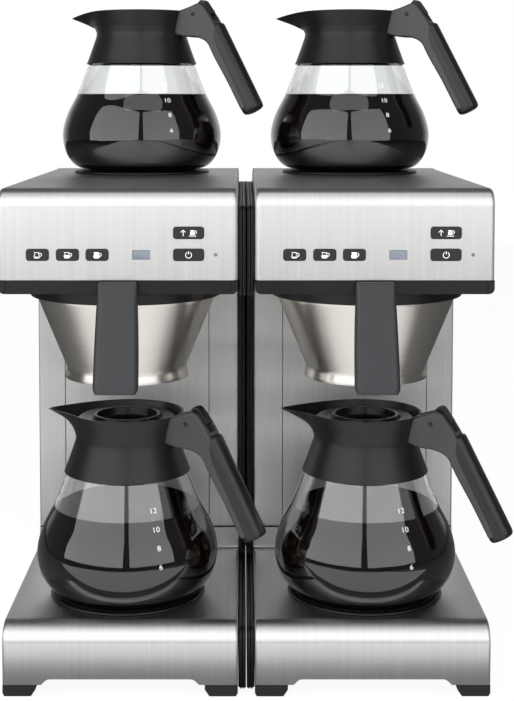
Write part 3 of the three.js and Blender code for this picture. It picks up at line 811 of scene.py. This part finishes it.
def build_hotplate(side, level):
    node = f"{side}_{level}_hotplate"
    low, high = span(node)
    radius = (high.y - low.y) / 2
    profile = [
        (0, -2.6), (61.5, -2.6, 1), (61.5, -10.6, 0), (64, -10.6, 0), (64, -2.3, 0),
        (radius - 1, -2.3, 0.3), (radius, -1.5, 0.8), (radius - 1.2, -0.3, 1),
        (radius - 4.6, -0.3, 1), (radius - 6.4, -1.4, 1), (radius - 8.4, 0, 1.2), (0, 0),
    ]
    shape = shifted(lathe(rounded(profile, 0, 4, False), 128), *middle_of(node)[:2], high.z)
    stand_in(f"{side}_{level}_warming_plate", shape, COATING, node)


# ---- filter and spray

def build_filter(side):
    basket = f"{side}_filter_basket"
    low, high = span(basket)
    x, y = middle_of(basket)[:2]
    foot = low.z
    cone = foot + 9
    rim = high.z - 7.5
    outer = [
        (6, cone + 0.2, 0), (53, cone, 1.5), (55.6, foot, 0.4), (56.8, foot, 0.5),
        (56.8, foot + 2.4, 1.4), (55.1, cone, 2.5), (82, rim, 3), (82, high.z, 0.5),
        (80.8, high.z, 0.5), (80.8, rim + 0.2, 3), (53.9, cone + 1.4, 2.5), (6, cone + 1.4, 0),
    ]
    shape = shifted(lathe(rounded(outer, 0, 5), 128), x, y)
    stand_in(f"{side}_basket_cone", shape, BASKET, basket, angle=40)

    holder = f"{side}_filter_holder"
    top = span(holder)[1].z - 11.6
    ring = rounded([
        (83.6, rim + 1, 0), (88, rim + 1, 1.2), (88, top, 1.2), (82.6, top, 0.5),
        (82.6, top - 2.5, 0), (83.6, top - 2.5, 0),
    ], 0, 4)
    stand_in(f"{side}_holder_ring", shifted(lathe(ring, 128), x, y), BLACK, holder,
             angle=40)
    build_pull(side, holder, x, y)


def build_pull(side, node, x, y):
    """The pull handle: one rounded section that grows wider towards its foot."""
    low, high = span(node)
    clear = span(f"{side}_head_cover")[0].y - 0.6
    top, foot = high.z, low.z
    front_line = spline([
        (clear - 7, top), (clear - 12.5, top - 18), (clear - 18.5, top - 40),
        (clear - 27.5, top - 66), (low.y, foot + 0.5),
    ], 8)
    back_line = spline([
        (clear - 0.2, top), (clear - 0.2, top - 12), (clear - 2, top - 24),
        (clear - 8, top - 52), (low.y + 16, foot + 2.5),
    ], 8)
    rings = []
    last = len(front_line) - 1
    insets = {0: 1.6, 1: 0.6, last - 1: 0.6, last: 2.0}
    for k, (front, back) in enumerate(zip(front_line, back_line)):
        depth = max(back.x - front.x, 2)
        half = 16.8 + 2.6 * k / last
        inset = insets.get(k, 0)
        section = rounded_box(
            2 * (half - inset), depth - inset, min(5.5, depth / 2.4) - inset * 0.6,
            (x, (front.x + back.x) / 2),
        )
        rings.append((section, (front.y + back.y) / 2))
    piece(f"{side}_pull_handle", loft(rings, "z"), SLATE, node, angle=55)
    neck = rounded_box(20, 9, 1.5, (x, high.z - 17.4), 3)
    body = prism(neck, "y", clear - 4, y - 85.5)
    piece(f"{side}_pull_neck", body, SLATE, node, 0.4)


def build_spray(side):
    node = f"{side}_spray_head"
    low, high = span(node)
    x, y = middle_of(node)[:2]
    profile = rounded([
        (0, low.z), (28, low.z, 1.5), (30, low.z + 3.5, 1.5), (22, low.z + 6, 3),
        (12, low.z + 8.5, 2), (9, high.z - 3, 1), (9, high.z, 0.5), (0, high.z),
    ], 0, 4, False)
    obj = to_object(f"{side}_spray_rose", shifted(lathe(profile, 96), x, y))
    drills = [
        prism(circle(0.9, spot, 12), "z", low.z - 1, low.z + 1.2)
        for count, radius in ((6, 9), (12, 17), (18, 24))
        for spot in circle(radius, (x, y), count)
    ]
    carve(obj, *drills)
    dress(soften(obj), BLACK, node, (node,))


# ---- boiler and services

def build_boiler(side):
    node, spray = f"{side}_boiler", f"{side}_spray_head"
    low, high = span(node)
    radius, wall = 36, 1.5
    x, y = middle_of(node)[0], high.y - radius
    bottom, shoulder = low.z, low.z + 194
    crown = shoulder + 12
    tank = rounded([
        (0, crown - wall, 0), (24.5, crown - wall, 5), (radius - wall, shoulder - wall, 4),
        (radius - wall, bottom + 10 + wall, 4), (24.5, bottom + wall, 3), (8, bottom + wall, 0.4),
        (8, bottom, 0.4), (26, bottom, 4), (radius, bottom + 10, 5), (radius, shoulder, 5),
        (26, crown, 6), (0, crown, 0),
    ], 0, 5)
    stand_in(f"{side}_boiler_tank", shifted(lathe(tank, 64), x, y), BOILER, node)
    pipe_z, spray_y = high.z - 5, middle_of(spray)[1]
    path = rounded([
        (y, shoulder + 11), (y, pipe_z, 24), (spray_y, pipe_z, 24),
        (spray_y, span(spray)[1].z + 0.3),
    ], 0, 10, False)
    piece(f"{side}_riser", tube([(x, *spot) for spot in path], 5), BOILER, node,
          angle=50)
    clamp = lathe(rounded([(36.2, 0), (37.6, 0), (37.6, 12), (36.2, 12)], 0.5), 64)
    bands = merged(*(shifted(clamp, x, y, bottom + z) for z in (42, 140)))
    piece(f"{side}_boiler_bands", bands, PAN, node)


# Middle across and up, width, height and depth of each part on the control board
CHIPS = (
    (30, 20, 14, 14, 2.4), (58, 16, 9, 7, 2), (84, 22, 22, 9, 3), (120, 18, 8, 8, 6),
    (134, 18, 8, 8, 6), (148, 40, 12, 18, 9),
)


def build_board(side):
    node = f"{side}_control_board"
    refined(node, BOARD, 0.3)
    low = span(node)[0]
    face = low.y + 1.6
    chips = [
        prism(rounded_box(width, height, 0.6, (low.x + x, low.z + z)), "y", face, face + depth)
        for x, z, width, height, depth in CHIPS
    ]
    piece(f"{side}_board_parts", merged(*chips), CHIP, node, 0.25)


def hexagon(across, low, high):
    return prism(circle(across / 2 / math.cos(math.pi / 6), steps=6), "z", low, high)


def build_inlet():
    """The brass water inlet with its threaded tail."""
    node = "inlet_valve"
    low, high = span(node)
    x, z = middle_of(node)[0], low.z + 13
    panel = span("rear_panel")[1].y
    length = high.y - panel
    core, crest, turns = 9.6, 10.6, 8
    pitch = (length - 4) / turns
    profile = [(0, -16), (core, -16)]
    for k in range(turns):
        y = 2.5 + pitch * k
        profile += [(core, y), (crest, y + 0.35 * pitch), (crest, y + 0.6 * pitch)]
    profile += [
        (core, length - 1), (core - 1, length), (6, length), (6, length - 6), (0, length - 6),
    ]
    tail = lying(lathe(profile, 64), x, panel, z)
    stand_in("inlet_tail", fit_along(tail, low.y + 30, high.y), BRASS, node, 35)
    body = cuboid(x - 14.5, x + 14.5, low.y, low.y + 33, low.z, high.z)
    piece("inlet_body", body, BRASS, node, 1.2)


def build_gland():
    """The empty cable gland, with a nut on each side of the panel."""
    node = "cable_gland"
    x, _, z = middle_of(node)
    panel = span("rear_panel")[1].y
    dome = lathe([
        (0, -12), (8.4, -12), (8.4, 7), (8.9, 7.4), (8.6, 10.6), (7.2, 12), (5.2, 12),
        (4.2, 11.2), (4.2, 9), (0, 9),
    ], 48)
    stand_in("gland_dome", lying(dome, x, panel, z), BLACK, node, 35, 0.2)
    nuts = [lying(hexagon(22, *ends), x, panel, z) for ends in ((0.3, 7), (-8, -1.9))]
    piece("gland_nuts", merged(*nuts), BLACK, node, 0.8)


def fit_along(shape, low, high):
    """Scales a shape along Y so that it reaches from low to high."""
    points, faces = shape
    start = min(p[1] for p in points)
    end = max(p[1] for p in points)
    scale = (high - low) / (end - start)
    return [(p[0], low + (p[1] - start) * scale, p[2]) for p in points], faces


# ---- keys

KEYS = ("small_jug", "half_jug", "full_jug", "plate", "power")
DISPLAY_X = 20.0
LAMP_X = 84.3
SMALL = (19, 9.7)
WIDE = (26, 10)

JUG = [
    (-2.2, -2.5), (1.5, -2.5), (2.3, -0.9), (1.2, 0.9), (1.3, 2.2), (-2.7, 2.2), (-1.8, 0.9),
    (-2.8, -0.9),
]
JUG_GRIP = [(1.4, 1.7), (3.3, 1.5), (3.9, 0.4), (3.0, -1.4)]


def key_face(side, key):
    """Middle and size of the face of a key."""
    x, _, z = middle_of(f"{side}_{key}_button")
    return (x, z, *(SMALL if key.endswith("jug") else WIDE))


def row_height(side):
    return key_face(side, "power")[1]


def symbol(key):
    """Flat shapes of a key's symbol: closed lines, open lines and filled outlines."""
    if key == "power":
        return [], [arc(2.6, 118, 422), [(0, 0.6), (0, 3.3)]], []
    if key == "plate":
        jug, grip = (
            [(3.6 + 0.85 * a, 0.5 + 0.85 * b) for a, b in line] for line in (JUG, JUG_GRIP)
        )
        lines = [grip, [(0.4, -2.6), (6.6, -2.6)], [(-4.6, -2.6), (-4.6, 2.4)],
                 [(-6.6, 0.6), (-4.6, 2.6), (-2.6, 0.6)]]
        return [], lines, [jug]
    fills = {
        "small_jug": [[(-2.4, -2.3), (1.7, -2.3), (2.0, -1.5), (-2.6, -1.5)]],
        "half_jug": [[(-2.3, -2.3), (1.6, -2.3), (2.2, -0.9), (1.8, -0.1), (-2.2, -0.1),
                      (-2.6, -0.9)]],
        "full_jug": [JUG],
    }[key]
    return [JUG], [JUG_GRIP], fills


def build_key(side, key):
    """A key with a flange behind the cover, a rounded face and its symbol."""
    node = f"{side}_{key}_button"
    low, high = span(node)
    x, z, width, height = key_face(side, key)
    rings = [
        (3.0, 2.6, high.y), (3.0, 2.6, high.y - 1.2), (0, 0, high.y - 1.3),
        (0, 0, low.y + 0.55), (-0.25, -0.25, low.y + 0.22), (-0.7, -0.7, low.y + 0.05),
        (-1.6, -1.6, low.y),
    ]
    body = loft([
        (rounded_box(width + a, height + b, max(2.3 + min(a, b) / 2, 1.2), (x, z)), y)
        for a, b, y in rings
    ], "y")
    stand_in(f"{side}_{key}_key", body, KEY, node)
    closed, lines, fills = symbol(key)
    ends = ("y", low.y - 0.05, low.y + 0.1)
    marks = [strip(line, 0.45, *ends, True) for line in closed]
    marks += [strip(line, 0.5, *ends) for line in lines]
    marks += [prism(ring, *ends) for ring in fills]
    for count, mark in enumerate(marks):
        piece(f"{side}_{key}_mark_{count}", shifted(mark, x, 0, z), PRINT_PAINTED_GLOW, node)


def build_display(side):
    """The pane of the display and the lens of the lamp, which sit in the head cover."""
    node = f"{side}_head_cover"
    front = span(node)[0].y
    middle, z = middle_of(node)[0], row_height(side)
    ring = rounded_box(14.9, 7.6, 0.6, (middle + DISPLAY_X, z))
    pane = prism(ring, "y", front + 0.5, front + 3)
    piece(f"{side}_display_pane", pane, LCD, node, bevel=0.25)
    lens = lathe([
        (0, 2.2), (2.2, 2.2), (2.2, 1.5), (1.35, 1.4), (1.35, 0.2), (1.0, -0.2), (0, -0.4),
    ], 32)
    piece(f"{side}_lamp", lying(lens, middle + LAMP_X, front, z), LENS, node)


# ---- jugs

# Radius and height of the outside of the glass
STATIONS = [
    (55, 0), (70, 4.5), (80.5, 18), (84, 38), (79, 59), (68, 81), (57.4, 108), (49, 130),
    (44.4, 143), (44.4, 147),
]
WALL = 2.5
RIM_RADIUS, RIM_Z, NECK_Z = 52.5, 167.0, 143.6
SPOUT_REACH, SPOUT_DROP = 96.0, 6.8
PIN_X, PIN_Z = 67, 162.7
JUG_TURN = math.radians(-25)
COFFEE_LEVEL = 80.0
NUMBERS = {"12": 88.6, "10": 73.3, "8": 58.4, "6": 42.8}
NUMBER_SIZE, NUMBER_STRETCH = 6.2, 1.25
NUMBER_AZIMUTH = math.radians(-90 + 25) - JUG_TURN


def glass_curve():
    return [(p.x, p.y) for p in spline(STATIONS, 8)]


def glass_radius(height):
    """Outer radius of the glass at a height."""
    curve = glass_curve()
    for (r0, z0), (r1, z1) in zip(curve, curve[1:]):
        if z0 <= height <= z1 and z1 > z0:
            return r0 + (r1 - r0) * (height - z0) / (z1 - z0)
    return curve[-1][0]


def inner_curve(gap):
    """The glass curve moved inwards."""
    curve = glass_curve()
    result = []
    for k, (radius, height) in enumerate(curve):
        before = Vector(curve[max(k - 1, 0)])
        after = Vector(curve[min(k + 1, len(curve) - 1)])
        ahead = (after - before).normalized()
        result.append((radius - ahead.y * gap, max(height + ahead.x * gap, gap)))
    return result


def beak_reach(x, y):
    """How far the spout draws the rim outwards at a point, with lines that touch the rim."""
    half_angle = math.acos(RIM_RADIUS / SPOUT_REACH)
    angle = math.hypot(math.atan2(y, -x), 0.08)
    if angle >= half_angle:
        return 0.0
    return RIM_RADIUS / math.cos(half_angle - angle) - RIM_RADIUS


def collar_shape():
    """The collar over the mouth of the glass, drawn out into a spout."""
    skirt, grooves = [], 12
    for k in range(grooves + 1):
        t = k / grooves
        radius, height = 58.4 - 10.2 * t ** 0.93, 112 + 28 * t
        skirt += [(radius, height), (radius - 0.12, height + 0.25)]
    outer = skirt + rounded([
        (48.2, 140, 0), (47.5, NECK_Z, 2.2), (48.6, 151, 2), (50.6, 159, 2),
        (RIM_RADIUS, RIM_Z, 0.6), (RIM_RADIUS - 2, RIM_Z, 0.6), (48.4, 159, 1),
        (46.6, 156.8, 0.5), (42, 156.8, 0.5), (42, 147.6, 0), (45, 147.6, 0), (45, 142.6, 0),
        (49.8, 130, 0), (56.6, 112, 0),
    ], 0, 5, False)
    points, faces = lathe(outer, 144)
    result = []
    start = NECK_Z + 1
    for x, y, z in points:
        radius = math.hypot(x, y)
        if z < start or radius < 44:
            result.append((x, y, z))
            continue
        height = min((z - start) / (RIM_Z - start), 1)
        beak = beak_reach(x, y)
        scale = 1 + beak * height ** 1.4 / radius
        drop = SPOUT_DROP * height * beak / (SPOUT_REACH - RIM_RADIUS)
        result.append((x * scale, y * scale, z - drop))
    return result, faces


# Side of the bracket: distance from the jug's axis, height, radius of the corner
BRACKET_SIDE = [
    (43, 143, 0), (56, 139.5, 5), (71, 139, 9), (82.3, 134.5, 11), (90, 118.6, 8),
    (105.6, 92.7, 8), (121.7, 62.8, 3), (127.5, 65.9, 3), (93.6, 131.5, 6), (91.5, 141, 6),
    (92.5, 149, 5), (87.5, 158, 6), (77, 172.5, 4), (71.5, 174.5, 4), (62, 170.5, 6),
    (43, 165, 0),
]
# Distance along the grip and inset of its section there
GRIP_STATIONS = (
    (0, 3.2), (0.5, 1.7), (1.6, 0.5), (3.5, 0), (30, 0), (62, 0), (94.5, 0), (97.2, 0.6),
    (98.5, 1.8), (99.05, 3.6),
)


def grip_shape():
    """The bar of the handle: a full, rounded section along a straight line."""
    start, ahead, across = Vector((85.3, 149.9)), Vector((0.4695, -0.883)), Vector((0.883, 0.4695))
    section = [
        [math.copysign(abs(value) ** 0.84, value) for value in spot] for spot in circle(1)
    ]
    points = []
    for distance, inset in GRIP_STATIONS:
        for u, v in section:
            spot = start + ahead * distance + across * (10.95 - inset) * u
            points.append((spot.x, (11.3 - inset) * v, spot.y))
    return skin(points, len(section))


def handle_object(name):
    """The bracket of the handle, cut to fit the collar and slotted for the lid's lever."""
    side = rounded(BRACKET_SIDE, 4, 5)
    body = soften(to_object(name, prism(side, "y", -11.5, 11.5)), 4.6, 55, 6)
    bore = lathe([
        (0, 100), (57.6, 108), (49.8, 130), (46.3, 142.6), (46.3, 150), (47.5, 159), (51, 167),
        (52, 185), (0, 185),
    ], 72)
    slot = prism([
        (40, 157.1), (58, 157.1), (60, 146), (82, 146), (89, 156), (89, 185), (40, 185),
    ], "y", -5.7, 5.7)
    return carve(carve(body, bore), slot)


def lid_shape():
    """The dish of the lid, with a well that has a drain in its middle."""
    return lathe(rounded([
        (9, 151, 0.5), (28, 153, 2), (30.5, 157.2, 1), (45.8, 157.2, 0.5), (45.8, 161, 0.8),
        (43, 162.4, 1), (33, 160.6, 2), (30.8, 164.6, 0.6), (28, 164.6, 0.8), (26.6, 156, 3),
        (9, 153.2, 0.6),
    ], 0, 4), 96)


# Side of the lid's lever, with the arm that reaches into the dish
LEVER = [
    (40, 158, 0), (56, 158, 2), (63, 160.2, 1), (65.5, 158.4, 2), (69.5, 158.6, 2), (72, 161, 2),
    (84.5, 161.5, 2), (85.5, 164.5, 2), (76.5, 177, 2), (72, 178, 2), (64, 168, 4),
    (50, 162.6, 3), (40, 162, 0),
]


def number_shape(text, height):
    """A printed number wrapped on the glass."""
    curve = bpy.data.curves.new("number", "FONT")
    curve.body = text
    curve.size = NUMBER_SIZE
    curve.offset = -0.1
    curve.align_x = "CENTER"
    curve.align_y = "CENTER"
    curve.resolution_u = 4
    curve.extrude = 0.04
    source = linked("number", curve)
    bpy.context.view_layer.update()
    mesh = evaluated_mesh(source)
    points = []
    for vertex in mesh.vertices:
        u, v, depth = vertex.co
        z = height + v
        radius = glass_radius(z) + 0.12 + depth
        angle = NUMBER_AZIMUTH + NUMBER_STRETCH * u / radius
        points.append((radius * math.cos(angle), radius * math.sin(angle), z))
    faces = [tuple(face.vertices) for face in mesh.polygons]
    bpy.data.objects.remove(source)
    bpy.data.curves.remove(curve)
    bpy.data.meshes.remove(mesh)
    return points, faces


def placed(obj, matrix):
    obj.data.transform(matrix)
    obj.data.update()
    return obj


def build_bowl(name, where):
    """The glass, and the coffee that fills it and reaches a little into its wall."""
    node = f"{name}_glass"
    outer = [(0, 0.6), (40, 0.5), (50, 0.15)] + glass_curve()
    inner = [(r, min(z, 147)) for r, z in inner_curve(WALL) if z > WALL + 0.01]
    shell = outer[:-1] + [(44.2, 146.8), (43.2, 147.2), (42.2, 146.8)] + inner[-2::-1]
    shell += [(50, WALL + 0.3), (40, WALL + 0.7), (0, WALL + 0.9)]
    stand_in(f"{name}_bowl", moved(lathe(shell, 128), where), GLASS, node, angle=60)
    inside = [(r, z) for r, z in inner_curve(WALL - 0.8) if WALL + 0.3 < z < COFFEE_LEVEL]
    edge = inside[-1][0]
    brew = [(0, WALL + 0.1), (40, WALL - 0.1), (50, WALL - 0.4)] + inside
    brew += [(edge - 0.3, COFFEE_LEVEL), (edge - 1.6, COFFEE_LEVEL - 0.5),
             (0, COFFEE_LEVEL - 0.5)]
    piece(f"{name}_coffee", moved(lathe(brew, 128), where), COFFEE, node, angle=50)


def build_handle(name, where, metres):
    node, lid = f"{name}_collar_and_handle", f"{name}_lid"
    stand_in(f"{name}_collar", moved(collar_shape(), where), COLLAR, node,
             angle=38)
    bracket = placed(handle_object(f"{name}_handle"), metres)
    dress(soften(bracket, 0, 38), BRACKET_PAINTED_LIT, node)
    piece(f"{name}_grip", moved(grip_shape(), where), GRIP, node, angle=50)
    knob = lathe([(0, -0.8), (2.2, -0.8), (2.2, 0.3), (1.8, 0.55), (0, 0.65)], 28)
    left = lying(knob, PIN_X, 11.3, PIN_Z)
    right = [(x, -y, z) for x, y, z in left[0]], left[1]
    piece(f"{name}_pin", moved(merged(left, right), where), BLACK, lid)


def build_lid(name, where, metres):
    node = f"{name}_lid"
    stand_in(f"{name}_lid_dish", moved(lid_shape(), where), LID, node, angle=40)
    lever = to_object(f"{name}_lever", prism(rounded(LEVER, 2, 4), "y", -5.3, 5.3))
    soften(lever, 0.9, 50, 3)
    dress(placed(lever, metres), BLACK, node)


def build_jug(side, level):
    name = f"{side}_{level}_jug"
    glass = f"{name}_glass"
    turn = Matrix.Rotation(JUG_TURN, 4, "Z")
    where = Matrix.Translation((*middle_of(glass)[:2], span(glass)[0].z)) @ turn
    metres = Matrix.Translation(where.to_translation() * MM) @ turn
    build_bowl(name, where)
    build_handle(name, where, metres)
    build_lid(name, where, metres)
    for text, height in NUMBERS.items():
        piece(f"{name}_mark_{text}", moved(number_shape(text, height), where), PRINT_PAINTED_GLOW, glass)


# ---- object

for side, sign in zip(SIDES, (-1, 1)):
    build_head_cover(side)
    build_base_cover(side)
    build_column(side)
    refined(f"{side}_base_pan", PAN, 0.3)
    build_head_moulding(side)
    build_centre_moulding(side, sign)
    for foot in ("outer_front_foot", "inner_front_foot", "rear_foot"):
        refined(f"{side}_{foot}", RUBBER, 0.8)
    for level in ("lower", "upper"):
        build_hotplate(side, level)
        build_jug(side, level)
    build_filter(side)
    build_spray(side)
    build_boiler(side)
    build_board(side)
    for key in KEYS:
        build_key(side, key)
    build_display(side)
build_rear()
build_inlet()
build_gland()


# ---- floor and lighting

FLOOR_GLOW, WALL_GLOW, ROOM_GLOW = 0.93, 0.5, 0.1
# Name, place and target in metres, width and height in metres, watts, change towards the top
LIGHTS = (
    ("front_left", (-1.16, -1.1, 1.3), (-0.36, 0.03, 1.25), 2.46, 2.2, 27.5, -0.12),
    ("front_right", (0.86, -1.38, 1.3), (0.26, -0.18, 1.25), 1.8, 2.2, 17.8, -0.12),
    ("overhead", (0, -0.72, 2.25), (0, -0.7, 0.3), 1.8, 1.25, 7, 0),
    ("table", (-0.3, -0.72, 0.01), (-0.3, -0.72, 1.0), 1.7, 0.95, 4.4, 0),
)
SENSOR_MM, LENS_MM = 36, 73.94
LENS_SHIFT = (0.0200, -0.2297)
EYE = (-0.0171, -1.4222, 0.5187)
EYE_TILT = 3.4


def seen_directly(tree):
    """1 for what the camera sees, straight or through glass, and 0 for all other light."""
    path = add(tree, "ShaderNodeLightPath").outputs
    return maths(tree, "MAXIMUM", path["Is Camera Ray"], path["Is Transmission Ray"])


def build_floor():
    """A pale floor that glows evenly where it is seen, and lights the object less."""
    material, tree, shader = new_material("pale_floor", Roughness=0.7)
    pale = tint(tree, noise(tree, (3, 3, 3)), (0.12, 0.12, 0.12), (0.13, 0.13, 0.13))
    seen = seen_directly(tree)
    feed(tree, shader, {
        "Base Color": colour_mix(tree, seen, (0.22, 0.22, 0.22, 1), pale),
        "Emission Color": (1, 1, 1, 1),
        "Emission Strength": maths(tree, "MULTIPLY", seen, FLOOR_GLOW),
    })
    size = 4000
    corners = [(-size, -size, 0), (size, -size, 0), (size, size, 0), (-size, size, 0)]
    floor = to_object("floor", (corners, [(0, 1, 2, 3)]))
    floor.data.materials.append(material)


def build_world():
    """A white room where it is seen, and a soft wall in the reflections."""
    world = bpy.data.worlds.new("studio")
    bpy.context.scene.world = world
    world.use_nodes = True
    tree = world.node_tree
    direction = add(tree, "ShaderNodeTexCoord").outputs["Generated"]
    level = maths(tree, "ABSOLUTE", component(tree, direction, "Z"))
    horizon = ramp(tree, level, 1, 0, 0.15, 0.45)
    behind = ramp(tree, component(tree, direction, "Y"), 0, WALL_GLOW, 0.6, 0.9)
    strength = maths(tree, "ADD", maths(tree, "MULTIPLY", horizon, behind), ROOM_GLOW)
    room = add(tree, "ShaderNodeBackground", {"Color": (1, 1, 1, 1), "Strength": strength})
    seen = tree.nodes["Background"]
    feed(tree, seen, {"Color": (1, 1, 1, 1), "Strength": 1.0})
    blend = add(tree, "ShaderNodeMixShader", {
        0: seen_directly(tree), 1: room.outputs[0], 2: seen.outputs[0],
    })
    feed(tree, tree.nodes["World Output"], {"Surface": blend.outputs[0]})


def softbox(name, place, target, width, height, watts, fade):
    """A soft rectangular light, brighter towards its top by the fade."""
    light = bpy.data.lights.new(name, "AREA")
    light.shape = "RECTANGLE"
    light.size, light.size_y = width, height
    light.energy = watts
    if fade:
        light.use_nodes = True
        tree = light.node_tree
        upward = component(tree, add(tree, "ShaderNodeNewGeometry").outputs["Parametric"], "Y")
        strength = ramp(tree, upward, 1 - fade, 1 + fade, 0, 1)
        feed(tree, tree.nodes["Emission"], {"Strength": strength})
    lamp = linked(name, light)
    lamp.location = place
    aim = Vector(target) - Vector(place)
    lamp.rotation_euler = aim.to_track_quat("-Z", "Y").to_euler()
    lamp.visible_camera = False


def build_camera():
    """The camera of the photograph, level from side to side and tilted a little down."""
    camera = bpy.data.cameras.new("camera")
    camera.sensor_width, camera.lens = SENSOR_MM, LENS_MM
    camera.shift_x, camera.shift_y = LENS_SHIFT
    eye = linked("camera", camera)
    eye.location = EYE
    eye.rotation_euler = (math.radians(90 - EYE_TILT), 0, 0)
    bpy.context.scene.camera = eye


build_floor()
build_world()
for light in LIGHTS:
    softbox(*light)
build_camera()
bpy.context.scene.view_settings.view_transform = "Standard"
